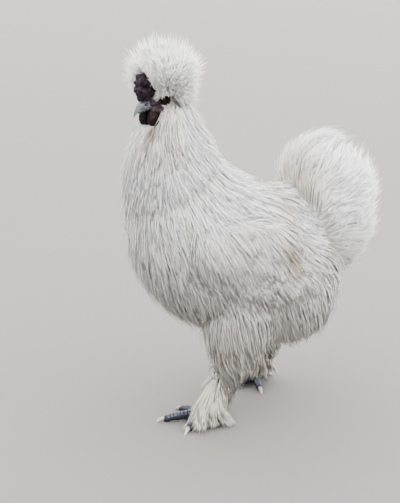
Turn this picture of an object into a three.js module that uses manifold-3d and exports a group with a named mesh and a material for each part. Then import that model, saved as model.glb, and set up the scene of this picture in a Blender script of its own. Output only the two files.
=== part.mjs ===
// A white silkie cock in mid-stride, life size, as a still museum model.
// Millimetres, +Z up. The bird faces -X and its left side is -Y.
import * as THREE from "three";
import { mergeVertices } from "three/addons/utils/BufferGeometryUtils.js";
import Module from "manifold-3d";

const wasm = await Module();
wasm.setup();

// Clearance kept between two neighbouring pieces
const gap = 0.3;

// The neck, breast and belly sweep round one line across the body, seen from the side.
// Radii of the back and of the breast and belly, and the half width, each by the angle in degrees.
const pivotX = 45;
const pivotZ = 331;
const backRadius = [
  [185, 85], [192, 80], [205, 79], [220, 81], [233, 84],
  [245, 87], [257, 90], [282, 92], [292, 97],
];
const frontRadius = [
  [185, 127], [189, 133], [194, 144], [203, 161], [214, 181], [222, 199], [233, 226],
  [245, 240], [257, 247], [268, 257], [277, 270], [283, 267], [289, 238],
];
const halfWidth = [
  [185, 25], [192, 29], [203, 40], [214, 53], [222, 62], [233, 72],
  [245, 77], [257, 79], [270, 78], [280, 73], [287, 66], [292, 60],
];

// Lengths of the body: the angles that each spans, and its coat of locks: depth of the core under the tips,
// number of locks round the body, spacing of the rows, length and thickness of a lock, seed of the random draws
const sections = [
  { name: "neck", from: 185, to: 215, core: 8, columns: 9, row: 26, length: 47, thick: 2.6, seed: 11 },
  { name: "breast", from: 215, to: 249, core: 11, columns: 12, row: 36, length: 64, thick: 3.2, seed: 23 },
  { name: "torso", from: 249, to: 281, core: 11, columns: 11, row: 40, length: 68, thick: 3.4, seed: 29 },
];
const lockSpread = 1.03;
const lockBend = 0.58;
const spreadTurns = 200;
// Past the last length the rump closes in this many degrees
const rumpAngle = sections.at(-1).to;
const rumpSpan = 18;
const sunk = 5;
const coreSides = 16;
const thighCoat = {
  core: 8, columns: 6, rows: [0.12, 0.4], length: [0.5, 0.6], width: 28, thick: 3, seed: 31,
};
const crestCoat = { core: 0.48, count: 42, width: 17.5, thick: 2.2, lean: 0.4, way: [0.1, 0, 1], seed: 47 };
const tailCoat = { core: 0.5, count: 54, width: 28, thick: 3.2, lean: 0.3, way: [0.5, 0, 0.86], seed: 59 };
// Hood: feathering of the crown's sides and the nape, behind the eyes, in rows from high to low,
// and the tufts beside the comb, by how far forward, left and low their tips are
const hoodRoom = { at: [24, 0, -8], size: [23, 34, 25] };
const hoodRows = [[-2, -17], [9, -8]];
const hoodCount = 5;
const hoodRoot = [15, 11];
const hoodTip = [37, 28];
const hoodLock = { width: 18, thick: 2.2 };
const browTufts = [[13, 12, 4], [18.5, 11, 1]];
const browLock = { width: 8, thick: 2 };
const wingDepth = 11;

// Head: centre of the skull, turned to the bird's left and tipped down
const headCentre = [-68, 0, 330];
const headTurn = 24;
const headTip = 8;
const skullSize = [23, 13, 16.5];
const eyeAt = [9, 12.6, 0];
const eyeSize = [4.9, 3.2, 4.2];
const lidThick = 1.3;
const cheekAt = [12, 9.5, -8];
const cheekSize = [6, 3.6, 4.2];
const combAt = [21.5, 0, 14];
const combSize = [10.5, 10, 14];
const combLean = 12;

// Upper edge, cutting edge and lower edge of the beak along its length, with its half width
const beakRoot = [20, 0, -3.5];
const beakLength = 20;
const beakRidge = [[0, 6.2], [0.3, 5.4], [0.6, 2.6], [0.85, -2.4], [1, -6.5]];
const beakEdge = [[0, -1.2], [0.5, -1.8], [0.85, -4.3], [1, -7.3]];
const beakUnder = [[0, -4.6], [0.4, -5], [0.7, -5]];
const beakWidth = [[0, 6.4], [0.4, 5], [0.8, 2.6], [1, 0.7]];
const lowerBeak = 0.68;
const nostrilAt = [25.5, 4.6, -0.8];
const nostrilSize = [2.4, 1.6, 0.8];
const wattleAt = [17.5, 6, -14.5];
const wattleSize = [5.2, 4.2, 8];

const crestCentre = [-67, 0, 350];
const crestRadius = 35.5;
const crestRoot = [-65, 0, 345];
// The crest stays open in front of the comb and under the brow
const faceRoom = { at: [36, 0, 2], size: [24, 15, 27] };
const browRoom = { at: [15, 0, -16], size: [26, 40, 22] };

// Tail ball
const tailCentre = [111, 0, 209];
const tailSize = [57, 62, 80];
const tailFullness = 2.25;

// Wing outline seen from the side, top edge and lower edge from shoulder to tip
const wingTop = [[-66, 192], [-52, 212], [-30, 219], [-4, 216], [22, 206], [44, 190], [56, 176]];
const wingLow = [[-66, 184], [-54, 170], [-32, 157], [-4, 152], [20, 153], [42, 158], [56, 168]];
const wingLift = 1.5;
const vaneThick = 2.2;
// Tiers of wing feathers: height of the roots on the wing, count, length, width, how far they stand out,
// slope of the first and the last
const wingTiers = [
  { height: 0.84, count: 4, length: 42, width: 18, lift: 8, steep: [60, 34] },
  { height: 0.58, count: 5, length: 47, width: 18, lift: 5, steep: [56, 26] },
  { height: 0.34, count: 5, length: 52, width: 20, lift: 2, steep: [50, 12] },
];
const vaneTilt = 0.1;

// Thighs: centre line and radii from the body down to the hock
const thighLeft = [
  [10, -34, 126, 40], [-2, -35, 102, 43], [-4, -36, 82, 38],
  [-5, -37, 65, 28], [-10, -37, 55, 18], [-14, -36, 48, 9],
];
const thighRight = [
  [54, 34, 124, 40], [62, 38, 100, 40], [66, 42, 80, 36],
  [66, 44, 64, 28], [62, 45, 52, 19], [56, 46, 42, 9],
];
const shankRadius = 6.2;
const ankleHeight = 13;
const padRadius = 9.5;
const padHeight = 8;

// Each leg: sole, heading of the foot, side its inner toe turns to, and the fan of feathers on its outer side
const legs = [
  { side: "left", foot: [-38, -26], heading: 166, inward: -1, thigh: thighLeft, fan: [176, 306] },
  { side: "right", foot: [57, 50], heading: 206, inward: 1, thigh: thighRight, fan: [10, 150] },
];
// Tiers of the feathers on shank and foot: count, root height, reach from the sole, height of the tip, width
const fanTiers = [
  { count: 3, root: 35, reach: 20, tip: 16, width: 13 },
  { count: 4, root: 25, reach: 29, tip: 8, width: 15 },
  { count: 5, root: 15, reach: 38, tip: 1.2, width: 16 },
];

// Toes: turn from the foot's heading towards its inner side, length, root and end radius, rise of the tip
const toes = [
  { name: "inner", turn: 52, length: 29, root: 5, end: 3.4, rise: 0 },
  { name: "middle", turn: 0, length: 37, root: 5.4, end: 3.5, rise: 0 },
  { name: "outer", turn: -58, length: 31, root: 5, end: 3.4, rise: 0 },
  { name: "hind", turn: 172, length: 20, root: 4.8, end: 3.3, rise: 0 },
  { name: "fifth", turn: 140, length: 18, root: 4, end: 2.8, rise: 13 },
];
const clawLength = 10;

const colours = {
  coat: new THREE.MeshStandardMaterial({ color: 0xe9e8e4, roughness: 0.9, metalness: 0 }),
  skin: new THREE.MeshStandardMaterial({ color: 0x6a4f60, roughness: 0.6, metalness: 0 }),
  comb: new THREE.MeshStandardMaterial({ color: 0x4a3548, roughness: 0.5, metalness: 0 }),
  wattle: new THREE.MeshStandardMaterial({ color: 0x4a2028, roughness: 0.5, metalness: 0 }),
  beak: new THREE.MeshStandardMaterial({ color: 0x6f7c8c, roughness: 0.35, metalness: 0 }),
  eye: new THREE.MeshStandardMaterial({ color: 0x120d0c, roughness: 0.08, metalness: 0 }),
  toe: new THREE.MeshStandardMaterial({ color: 0x333a4a, roughness: 0.55, metalness: 0 }),
  claw: new THREE.MeshStandardMaterial({ color: 0xb0afa8, roughness: 0.4, metalness: 0 }),
};

const group = new THREE.Group();

function rad(degrees) {
  return degrees * Math.PI / 180;
}

function vec(x, y, z) {
  return new THREE.Vector3(x, y, z);
}

function mix(a, b, t) {
  return a + (b - a) * t;
}

// Repeatable random numbers from 0 to 1
function seeded(seed) {
  let state = seed;
  return () => {
    state = (state * 1664525 + 1013904223) % 4294967296;
    return state / 4294967296;
  };
}

// Value of a smooth curve through pairs [x, y], sorted by x
function along(pairs, x) {
  const last = pairs.length - 1;
  if (x <= pairs[0][0]) {
    return pairs[0][1];
  }
  if (x >= pairs[last][0]) {
    return pairs[last][1];
  }
  const i = pairs.findIndex((pair) => pair[0] > x) - 1;
  const slope = (k) => {
    const before = pairs[Math.max(k - 1, 0)];
    const after = pairs[Math.min(k + 1, last)];
    return (after[1] - before[1]) / (after[0] - before[0]);
  };
  const [x0, y0] = pairs[i];
  const [x1, y1] = pairs[i + 1];
  const h = x1 - x0;
  const t = (x - x0) / h;
  const level = y0 * (1 + 2 * t) * (1 - t) ** 2 + y1 * t * t * (3 - 2 * t);
  return level + slope(i) * h * t * (1 - t) ** 2 + slope(i + 1) * h * t * t * (t - 1);
}

// Closed geometry with its faces turned outwards
function geometryOf(points, faces) {
  let volume = 0;
  for (let i = 0; i < faces.length; i += 3) {
    const [a, b, c] = [points[faces[i]], points[faces[i + 1]], points[faces[i + 2]]];
    volume += a.dot(vec(0, 0, 0).crossVectors(b, c));
  }
  const geometry = new THREE.BufferGeometry();
  geometry.setAttribute("position", new THREE.Float32BufferAttribute(points.flatMap((p) => p.toArray()), 3));
  geometry.setIndex(volume > 0 ? faces : faces.slice().reverse());
  return geometry;
}

// Geometry from rings of equally many points, closed at both ends round the ring's middle
function loft(rings) {
  const count = rings[0].length;
  const points = rings.flat();
  const faces = [];
  for (let i = 0; i < rings.length - 1; i += 1) {
    for (let j = 0; j < count; j += 1) {
      const a = i * count + j;
      const b = i * count + (j + 1) % count;
      faces.push(a, b, b + count, a, b + count, a + count);
    }
  }
  for (const [ring, turn] of [[0, false], [rings.length - 1, true]]) {
    const middle = vec(0, 0, 0);
    rings[ring].forEach((p) => middle.addScaledVector(p, 1 / count));
    const centre = points.push(middle) - 1;
    for (let j = 0; j < count; j += 1) {
      const a = ring * count + j;
      const b = ring * count + (j + 1) % count;
      faces.push(...(turn ? [a, b, centre] : [b, a, centre]));
    }
  }
  return geometryOf(points, faces);
}

function solid(geometry) {
  const bare = geometry.clone();
  bare.deleteAttribute("normal");
  bare.deleteAttribute("uv");
  const merged = mergeVertices(bare, 1e-4);
  const vertProperties = new Float32Array(merged.attributes.position.array);
  const triVerts = new Uint32Array(merged.index.array);
  return new wasm.Manifold(new wasm.Mesh({ numProp: 3, vertProperties, triVerts }));
}

function join(solids) {
  return solids.reduce((whole, piece) => whole.add(piece));
}

function cut(whole, tools) {
  return tools.reduce((left, tool) => left.subtract(tool), whole);
}

// The largest closed surface of a solid, so a sealed hollow is filled and a loose scrap dropped
function largest(whole) {
  return whole.decompose().sort((a, b) => b.volume() - a.volume())[0];
}

// Adds a node whose mesh sits at the middle of its own box
function node(name, whole, material) {
  const mesh = largest(whole).getMesh();
  const geometry = new THREE.BufferGeometry();
  geometry.setAttribute("position", new THREE.Float32BufferAttribute(mesh.vertProperties, 3));
  geometry.setIndex(Array.from(mesh.triVerts));
  geometry.computeBoundingBox();
  const middle = geometry.boundingBox.getCenter(vec(0, 0, 0));
  geometry.translate(-middle.x, -middle.y, -middle.z);
  geometry.computeVertexNormals();
  const made = new THREE.Mesh(geometry, material);
  made.name = name;
  made.position.copy(middle);
  group.add(made);
}

// The same points moved outwards until each lies at least that far beyond all the faces it belongs to
function spread(points, faces, room) {
  return points.map((p, i) => {
    const ways = [];
    for (let k = 0; k < faces.length; k += 3) {
      const corners = faces.slice(k, k + 3);
      if (corners.includes(i)) {
        const [a, b, c] = corners.map((corner) => points[corner].clone());
        ways.push(vec(0, 0, 0).crossVectors(b.sub(a), c.sub(a)).normalize());
      }
    }
    const move = vec(0, 0, 0);
    for (let turn = 0; turn < spreadTurns; turn += 1) {
      ways.forEach((way) => move.addScaledVector(way, Math.max(room - move.dot(way), 0)));
    }
    return p.clone().add(move);
  });
}

// Flat lock that tapers to a tip, with a low ridge along its outer face. form.at(s) gives its middle line and
// the way out of the coat, s from 0 to 1, and form.root the share of its width at the root. A grown lock holds
// the plain one with room on all its faces, so its thin edges reach further out, and its tip is blunt.
function lock(form, grow) {
  const ring = (p, way, out, wide, low, high) => {
    const side = vec(0, 0, 0).crossVectors(way, out).normalize();
    const over = vec(0, 0, 0).crossVectors(side, way).normalize();
    const corners = [[wide, low], [0, high], [-wide, low]];
    return corners.map(([across, up]) => p.clone().addScaledVector(side, across).addScaledVector(over, up));
  };
  const between = (k) => {
    const [l, t, r] = [k, k + 1, k + 2];
    return [l, l + 3, t + 3, l, t + 3, t, r, t, t + 3, r, t + 3, r + 3, l, r, r + 3, l, r + 3, l + 3];
  };
  const points = [[0, form.root ?? 0.75], [lockBend, 1]].flatMap(([s, share]) => {
    const way = form.at(s + 0.05).p.sub(form.at(s - 0.05).p);
    return ring(form.at(s).p, way, form.at(s).out, form.width * share / 2, 0, form.thick);
  });
  const bend = form.at(lockBend);
  const end = form.at(1).p;
  const plain = geometryOf([...points, end], [0, 1, 2, ...between(0), 3, 6, 4, 4, 6, 5, 5, 6, 3]);
  if (grow === 0) {
    return solid(plain);
  }
  const held = spread([...points, end], Array.from(plain.index.array), grow).slice(0, 6);
  const way = end.clone().sub(bend.p).setLength(grow);
  const tip = ring(end.clone().add(way), way, bend.out, 2 * grow, -grow, 1.5 * grow);
  return solid(geometryOf([...held, ...tip], [0, 1, 2, ...between(0), ...between(3), 6, 8, 7]));
}

// Depth under the tips along a lock that rises out of its core and then lies along the coat
function lockDepth(s, core, tipDepth) {
  return mix(tipDepth, core + sunk, Math.max(1 - s, 0) ** 1.7);
}

// Point of the coat: angle round the pivot, angle round the body from the breast to its left, depth under it
function bodyPoint(angle, round, depth) {
  const back = along(backRadius, angle);
  const front = along(frontRadius, angle);
  const closing = Math.sqrt(1 - Math.min(Math.max(angle - rumpAngle, 0) / rumpSpan, 1) ** 3);
  const deep = Math.max((front - back) / 2 * closing - depth, 0.5);
  const wide = Math.max(along(halfWidth, angle) * closing - depth, 0.5);
  const r = (front + back) / 2 + deep * Math.cos(rad(round));
  const y = -wide * Math.sin(rad(round));
  return vec(pivotX + r * Math.cos(rad(angle)), y, pivotZ + r * Math.sin(rad(angle)));
}

function bodyRing(angle, depth, shift = 0) {
  const step = vec(-Math.sin(rad(angle)), 0, Math.cos(rad(angle))).multiplyScalar(shift);
  return Array.from({ length: coreSides }, (_, j) => bodyPoint(angle, 360 * j / coreSides, depth).add(step));
}

// Angle round the pivot that a length of coat takes up
function stepAngle(angle, round, length) {
  const p = bodyPoint(angle, round, 0);
  return THREE.MathUtils.radToDeg(length / Math.hypot(p.x - pivotX, p.z - pivotZ));
}

// Rows of locks along the lie of the coat. Every second column is set back by half a row.
function coatLocks(coat, keep) {
  const random = seeded(coat.seed);
  const locks = [];
  for (let column = 0; column < coat.columns; column += 1) {
    const middle = 360 * (column + 0.25) / coat.columns;
    const end = coat.to === rumpAngle ? rumpAngle + 4 : coat.to - 3;
    let angle = coat.from - 1 + (column % 2) * stepAngle(coat.from, middle, coat.row / 2);
    while (angle < end) {
      const start = angle;
      const round = middle + 0.2 * (random() - 0.5) * 360 / coat.columns;
      const deep = (along(frontRadius, angle) - along(backRadius, angle)) / 2;
      const girth = 2 * Math.PI * Math.sqrt((deep ** 2 + along(halfWidth, angle) ** 2) / 2);
      const width = lockSpread * girth / coat.columns;
      const turn = stepAngle(angle, round, coat.length * mix(0.88, 1.12, random()));
      const tipDepth = mix(-2, 1.5, random());
      const drift = 8 * (random() - 0.5);
      const surface = (s, over) => {
        const depth = lockDepth(s, coat.core, tipDepth) - over;
        return bodyPoint(start + turn * s, round + drift * s, depth);
      };
      const at = (s) => ({ p: surface(s, 0), out: surface(s, 5).sub(surface(s, 0)) });
      if (keep(surface(0, 0))) {
        locks.push({ at, width, thick: coat.thick });
      }
      angle += stepAngle(angle, round, coat.row);
    }
  }
  return locks;
}

// Core of one length of the body, its ends facing those of the next ones
function bodyCore(section, grow) {
  const deep = (angle) => {
    const t = (angle - sections[1].from) / 12;
    return mix(sections[0].core, sections[1].core, THREE.MathUtils.clamp(t, 0, 1)) - grow;
  };
  const end = gap / 2 - grow;
  const last = section.to === rumpAngle;
  const rings = [bodyRing(section.from, deep(section.from), section === sections[0] ? 0 : end)];
  for (let angle = section.from + 9; angle < section.to - 5; angle += 10) {
    rings.push(bodyRing(angle, deep(angle)));
  }
  rings.push(bodyRing(section.to, deep(section.to), last ? 0 : -end));
  if (last) {
    for (const [turn, under] of [[4, 3], [8, 10], [10, 30]]) {
      rings.push(bodyRing(section.to + turn, deep(section.to) + under, grow));
    }
  }
  return solid(loft(rings));
}

// Directions of the head: forward, to its left and up, and points measured along them from the skull's centre
const headX = vec(-1, 0, 0).applyAxisAngle(vec(0, 0, 1), rad(headTurn));
const headY = vec(0, 0, 1).cross(headX).normalize();
headX.applyAxisAngle(headY, rad(headTip));
const headZ = vec(0, 0, 0).crossVectors(headX, headY);

function headPoint(forward, left, up) {
  const p = vec(...headCentre).addScaledVector(headX, forward);
  return p.addScaledVector(headY, left).addScaledVector(headZ, up);
}

// The same three distances of a point
function headPlace(p) {
  const way = p.clone().sub(vec(...headCentre));
  return [way.dot(headX), way.dot(headY), way.dot(headZ)];
}

function inside(place, room) {
  return place.reduce((sum, v, i) => sum + ((v - room.at[i]) / room.size[i]) ** 2, 0) < 1;
}

// Closed geometry whose points are moved by place(point)
function shaped(geometry, place) {
  const bare = geometry.clone();
  bare.deleteAttribute("normal");
  bare.deleteAttribute("uv");
  const merged = mergeVertices(bare, 1e-5);
  const points = [];
  for (let i = 0; i < merged.attributes.position.count; i += 1) {
    points.push(place(vec(0, 0, 0).fromBufferAttribute(merged.attributes.position, i)));
  }
  return solid(geometryOf(points, Array.from(merged.index.array)));
}

function ball(segments, place) {
  return shaped(new THREE.SphereGeometry(1, segments[0], segments[1]), place);
}

// Ball in the head's own directions
function headBall(at, size, grow, segments) {
  return ball(segments, (d) => headPoint(...at.map((v, i) => v + (size[i] + grow) * d.getComponent(i))));
}

function mirrored(at, sign) {
  return [at[0], at[1] * sign, at[2]];
}

// Walnut comb: a broad knob leaning back, with a groove across it and lobes round it
function comb(grow) {
  return ball([12, 9], (d) => {
    const groove = 1 - 0.24 * Math.exp(-(((d.z - 0.1) / 0.2) ** 2)) * (d.x > 0 ? 1 : 0.4);
    const lobes = 1 + 0.12 * Math.sin(5 * Math.atan2(d.y, d.x) + 3 * d.z) * Math.cos(4 * d.z);
    const k = groove * lobes;
    const forward = (combSize[0] * k + grow) * d.x;
    const up = (combSize[2] * k + grow) * d.z;
    const lean = rad(combLean);
    return headPoint(
      combAt[0] + forward * Math.cos(lean) - up * Math.sin(lean),
      combAt[1] + (combSize[1] * k + grow) * d.y,
      combAt[2] + forward * Math.sin(lean) + up * Math.cos(lean),
    );
  });
}

function beakPart(grow, top) {
  const steps = 4;
  const round = 5;
  const rings = [];
  for (let i = 0; i <= steps; i += 1) {
    const t = (top ? 1 : lowerBeak) * i / steps;
    const ends = i === 0 ? -grow : i === steps ? grow : 0;
    const wide = (along(beakWidth, t) + grow) * (top ? 1 : 0.86);
    const edge = along(beakEdge, t) + (top ? gap / 2 - grow : grow - gap / 2);
    const far = along(top ? beakRidge : beakUnder, t) + (top ? grow : -grow);
    rings.push(Array.from({ length: round + 1 }, (_, j) => {
      const a = Math.PI * j / round;
      const up = edge + (far - edge) * Math.sin(a);
      return headPoint(beakRoot[0] + beakLength * t + ends, wide * Math.cos(a), beakRoot[2] + up);
    }));
  }
  return solid(loft(rings));
}

// Tube along points with a radius at each, its underside kept flat at the floor
function tube(points, radii, count) {
  const rings = points.map((p, i) => {
    const ahead = points[Math.min(i + 1, points.length - 1)];
    const behind = points[Math.max(i - 1, 0)];
    const way = vec(0, 0, 0).subVectors(ahead, behind).normalize();
    const side = Math.abs(way.z) > 0.9 ? vec(1, 0, 0) : vec(0, 0, 1);
    const across = vec(0, 0, 0).crossVectors(way, side).normalize();
    const over = vec(0, 0, 0).crossVectors(across, way);
    return Array.from({ length: count }, (_, j) => {
      const turn = 2 * Math.PI * (j + 0.5) / count;
      const q = p.clone().addScaledVector(across, radii[i] * Math.cos(turn));
      q.addScaledVector(over, radii[i] * Math.sin(turn));
      q.z = Math.max(q.z, 0);
      return q;
    });
  });
  return solid(loft(rings));
}

// Lids: a rim round each eye, thicker over it than below
function lids(sign) {
  return shaped(new THREE.TorusGeometry(1, 0.3, 4, 8), (p) => {
    const round = Math.atan2(p.y, p.x);
    const out = (Math.hypot(p.x, p.y) - 1) / 0.3;
    const thick = lidThick * (p.y > 0 ? 1.2 : 0.85);
    const reach = [eyeSize[0] + thick * (0.2 + out), eyeSize[2] + thick * (0.1 + out)];
    const left = eyeAt[1] - 1.4 * Math.abs(Math.cos(round)) + thick * (p.z / 0.3 - 0.5);
    const forward = eyeAt[0] + reach[0] * Math.cos(round);
    return headPoint(forward, sign * left, eyeAt[2] + reach[1] * Math.sin(round));
  });
}

const skull = (grow) => headBall([0, 0, 0], skullSize, grow, [10, 7]);
const sides = [["left", 1], ["right", -1]];
const eyes = {};
const wattles = {};
for (const [side, sign] of sides) {
  eyes[side] = (grow) => headBall(mirrored(eyeAt, sign), eyeSize, grow, [8, 6]);
  wattles[side] = (grow) => ball([8, 6], (d) => {
    // One fold runs down each wattle, which hangs wider below
    const fold = 1 - 0.18 * Math.exp(-(((d.x - 0.1) / 0.3) ** 2));
    const wide = 1 - 0.25 * d.z;
    const size = [wattleSize[0] * wide, wattleSize[1] * wide * fold, wattleSize[2]];
    return headPoint(...mirrored(wattleAt, sign).map((v, i) => v + (size[i] + grow) * d.getComponent(i)));
  });
}
const faceTools = [beakPart(gap, true), beakPart(gap, false), comb(gap)];
for (const [side] of sides) {
  faceTools.push(eyes[side](gap), wattles[side](gap));
}
const cheeks = (grow) => sides.map(([, sign]) => headBall(mirrored(cheekAt, sign), cheekSize, grow, [6, 5]));
const headForm = (grow) => join([skull(grow), ...cheeks(grow)]);
node("head", cut(join([headForm(0), ...sides.map(([, sign]) => lids(sign))]), faceTools), colours.skin);
node("comb", comb(0), colours.comb);
const nostrils = sides.map(([, sign]) => headBall(mirrored(nostrilAt, sign), nostrilSize, 0, [6, 4]));
node("beak_upper", cut(beakPart(0, true), [comb(gap), ...nostrils]), colours.beak);
node("beak_lower", beakPart(0, false), colours.beak);
for (const [side] of sides) {
  node(`eye_${side}`, eyes[side](0), colours.eye);
  node(`wattle_${side}`, cut(wattles[side](0), [beakPart(gap, false), beakPart(gap, true)]), colours.wattle);
}

// Evenly spread directions
function spiral(count, random) {
  return Array.from({ length: count }, (_, i) => {
    const z = 1 - 2 * (i + 0.5) / count;
    const a = i * Math.PI * (3 - Math.sqrt(5)) + 0.3 * (random() - 0.5);
    return vec(Math.sqrt(1 - z * z) * Math.cos(a), Math.sqrt(1 - z * z) * Math.sin(a), z);
  });
}

// Locks of a round puff: they rise side by side and bend away from its axis until they lie along the ball.
// place(direction, share of the way out) gives its points.
function puffLocks(coat, place, keep) {
  const random = seeded(coat.seed);
  const axis = vec(...coat.way).normalize();
  const locks = [];
  for (const d of spiral(coat.count, random)) {
    const hinge = vec(0, 0, 0).crossVectors(d, axis).normalize();
    const reach = mix(0.95, 1.03, random());
    const width = coat.width * mix(0.88, 1.12, random());
    const at = (s) => {
      const back = d.angleTo(axis) * coat.lean * Math.max(1 - s, 0);
      const way = d.clone().applyAxisAngle(hinge, back);
      const far = mix(reach, coat.core * 0.8, Math.max(1 - s, 0) ** 1.8);
      return { p: place(way, far), out: way.add(axis) };
    };
    if (keep(at(1).p, at(0.75).p)) {
      locks.push({ at, width, thick: coat.thick, root: 0.3 });
    }
  }
  return locks;
}

function crestPlace(d, far) {
  return vec(...crestRoot).lerp(vec(...crestCentre), far).addScaledVector(d, crestRadius * far);
}
const crestLocks = puffLocks(crestCoat, crestPlace, (tip, middle) => {
  const clear = [tip, middle].map(headPlace).every((p) => !inside(p, faceRoom) && !inside(p, browRoom));
  return clear && tip.z > crestCentre[2] - crestRadius * 0.8;
});
const hoodCore = (grow) => {
  const whole = headBall([-2, 0, -1], skullSize.map((r) => r + 3), grow, [12, 8]);
  return whole.subtract(headBall(hoodRoom.at, hoodRoom.size, -grow, [12, 8]));
};
const hoodLocks = [];
hoodRows.forEach(([high, low], k) => {
  for (let i = 0; i < hoodCount; i += 1) {
    const a = rad(mix(96, 264, (i + 0.5 * k) / (hoodCount - 0.5)));
    const at = (s) => {
      const spread = Math.sin(Math.PI / 2 * THREE.MathUtils.clamp(s, 0, 1)) ** 0.8;
      const [forward, left] = [0, 1].map((n) => mix(hoodRoot[n], hoodTip[n], spread));
      const p = headPoint(forward * Math.cos(a), left * Math.sin(a), mix(high, low, s));
      return { p, out: vec(0, 0, 0).addScaledVector(headX, Math.cos(a)).addScaledVector(headY, Math.sin(a)) };
    };
    hoodLocks.push({ at, ...hoodLock });
  }
});
for (const [, sign] of sides) {
  for (const [forward, left, low] of browTufts) {
    const root = headPoint(forward - 8, sign * (left - 5), 18);
    const tip = headPoint(forward, sign * left, low);
    const out = headY.clone().multiplyScalar(sign);
    const at = (s) => ({ p: root.clone().lerp(tip, s).addScaledVector(out, 3 * s), out });
    hoodLocks.push({ at, ...browLock });
  }
}
const crestForm = (grow) => join([
  ball([10, 7], (d) => crestPlace(d, crestCoat.core).addScaledVector(d, grow)),
  hoodCore(grow),
  ...[...crestLocks, ...hoodLocks].map((form) => lock(form, grow)),
]);
node("crest", cut(crestForm(0), [...faceTools, headForm(gap)]), colours.coat);

// Wings lie on the sides of the body
function sidePoint(x, z, lift, sign) {
  const r = Math.hypot(x - pivotX, z - pivotZ);
  const angle = 360 + THREE.MathUtils.radToDeg(Math.atan2(z - pivotZ, x - pivotX));
  const back = along(backRadius, angle);
  const front = along(frontRadius, angle);
  const u = THREE.MathUtils.clamp((r - (front + back) / 2) / ((front - back) / 2), -0.93, 0.93);
  return vec(x, sign * -(along(halfWidth, angle) * Math.sqrt(1 - u * u) + lift), z);
}

function wingCore(sign) {
  const steps = 5;
  const across = 3;
  const rings = [];
  for (let i = 0; i <= steps; i += 1) {
    const x = mix(wingTop[0][0], wingTop.at(-1)[0], i / steps);
    const outer = [];
    const inner = [];
    for (let j = 0; j <= across; j += 1) {
      const z = mix(along(wingTop, x), along(wingLow, x), j / across);
      const swell = [j / across, i / steps].map((t) => Math.sin(Math.PI * mix(0.1, 0.9, t)));
      outer.push(sidePoint(x, z, mix(-4, wingLift, swell[0] * swell[1]), sign));
      inner.unshift(sidePoint(x, z, -wingDepth - 3, sign));
    }
    rings.push([...outer, ...inner]);
  }
  return solid(loft(rings));
}

function wingLocks(sign) {
  const random = seeded(61);
  const locks = [];
  for (const tier of wingTiers) {
    for (let i = 0; i < tier.count; i += 1) {
      const t = (i + 0.5) / tier.count;
      const x0 = mix(wingTop[1][0] - 6, wingTop.at(-3)[0], t);
      const z0 = mix(along(wingLow, x0), along(wingTop, x0), tier.height) + 3 * (random() - 0.5);
      const slope = rad(mix(...tier.steep, t) + 8 * (random() - 0.5));
      const length = tier.length * mix(0.9, 1.1, random());
      const at = (s) => {
        const bend = slope * (1 - 0.25 * s);
        const x = x0 + length * s * Math.cos(bend);
        const z = z0 - length * s * Math.sin(bend);
        const lift = mix(tier.lift, -wingDepth / 2, Math.max(1 - s, 0) ** 2.2);
        const p = sidePoint(x, z, lift, sign);
        const out = vec(0, -sign, 0).lerp(p.clone().sub(vec(x, 0, 190)).normalize(), 0.3);
        return { p, out: out.add(vec(Math.sin(bend), 0, Math.cos(bend)).multiplyScalar(vaneTilt)) };
      };
      locks.push({ at, width: tier.width, thick: vaneThick });
    }
  }
  return locks;
}

const inWing = (p) => {
  if (Math.abs(p.y) < 38 || p.x < wingTop[0][0] + 4 || p.x > wingTop.at(-1)[0] - 6) {
    return false;
  }
  return p.z < along(wingTop, p.x) - 6 && p.z > along(wingLow, p.x) + 12;
};
const inThigh = (p) => legs.some((leg) => {
  const path = [...leg.thigh].reverse();
  const [x, y, r] = [0, 1, 3].map((k) => along(path.map((row) => [row[2], row[k]]), p.z));
  return p.z < path.at(-1)[2] && Math.hypot(p.x - x, p.y - y) < r - 6;
});

// Neck, breast and the rest of the body, each lying under the locks of the one before it
const bodyRooms = [];
for (const section of sections) {
  const locks = coatLocks(section, (p) => section === sections[0] || (!inWing(p) && !inThigh(p)));
  const form = (grow) => join([bodyCore(section, grow), ...locks.map((each) => lock(each, grow))]);
  const tools = section === sections[0] ? [...faceTools, headForm(gap), crestForm(gap)] : bodyRooms.slice(-1);
  node(section.name, cut(form(0), tools), colours.coat);
  bodyRooms.push(form(gap));
}

const wingRooms = [];
for (const [side, sign] of sides) {
  const forms = wingLocks(sign);
  const wing = join([wingCore(sign), ...forms.map((form) => lock(form, 0))]);
  node(`wing_${side}`, cut(wing, bodyRooms), colours.coat);
  wingRooms.push(...forms.map((form) => lock(form, gap)));
}
const wingRoom = join(wingRooms);
const bodyRoom = bodyRooms.at(-1);

const tailPlace = (d, far) => {
  const norm = d.toArray().reduce((sum, c) => sum + Math.abs(c) ** tailFullness, 0) ** (1 / tailFullness);
  return vec(...tailCentre).add(vec(...tailSize).multiply(d).multiplyScalar(far / norm));
};
const inBody = (p) => {
  const r = Math.hypot(p.x - pivotX, p.z - pivotZ);
  const angle = 360 + THREE.MathUtils.radToDeg(Math.atan2(p.z - pivotZ, p.x - pivotX));
  return angle < 288 && r > along(backRadius, angle) - 2 && Math.abs(p.y) < along(halfWidth, angle);
};
const tailLocks = puffLocks(tailCoat, tailPlace, (tip, middle) => !inBody(tip) && !inBody(middle));
const tailBall = ball([10, 7], (d) => tailPlace(d, tailCoat.core));
const tailRoot = solid(loft([0, 1].map((t) => Array.from({ length: 10 }, (_, j) => {
  const a = 2 * Math.PI * j / 10;
  const wide = mix(34, 24, t);
  return vec(mix(58, 100, t), wide * Math.cos(a), mix(196, 206, t) + wide * 1.15 * Math.sin(a));
}))));
const tailForm = join([tailBall, tailRoot, ...tailLocks.map((form) => lock(form, 0))]);
node("tail", cut(tailForm, [bodyRoom, wingRoom]), colours.coat);

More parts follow.
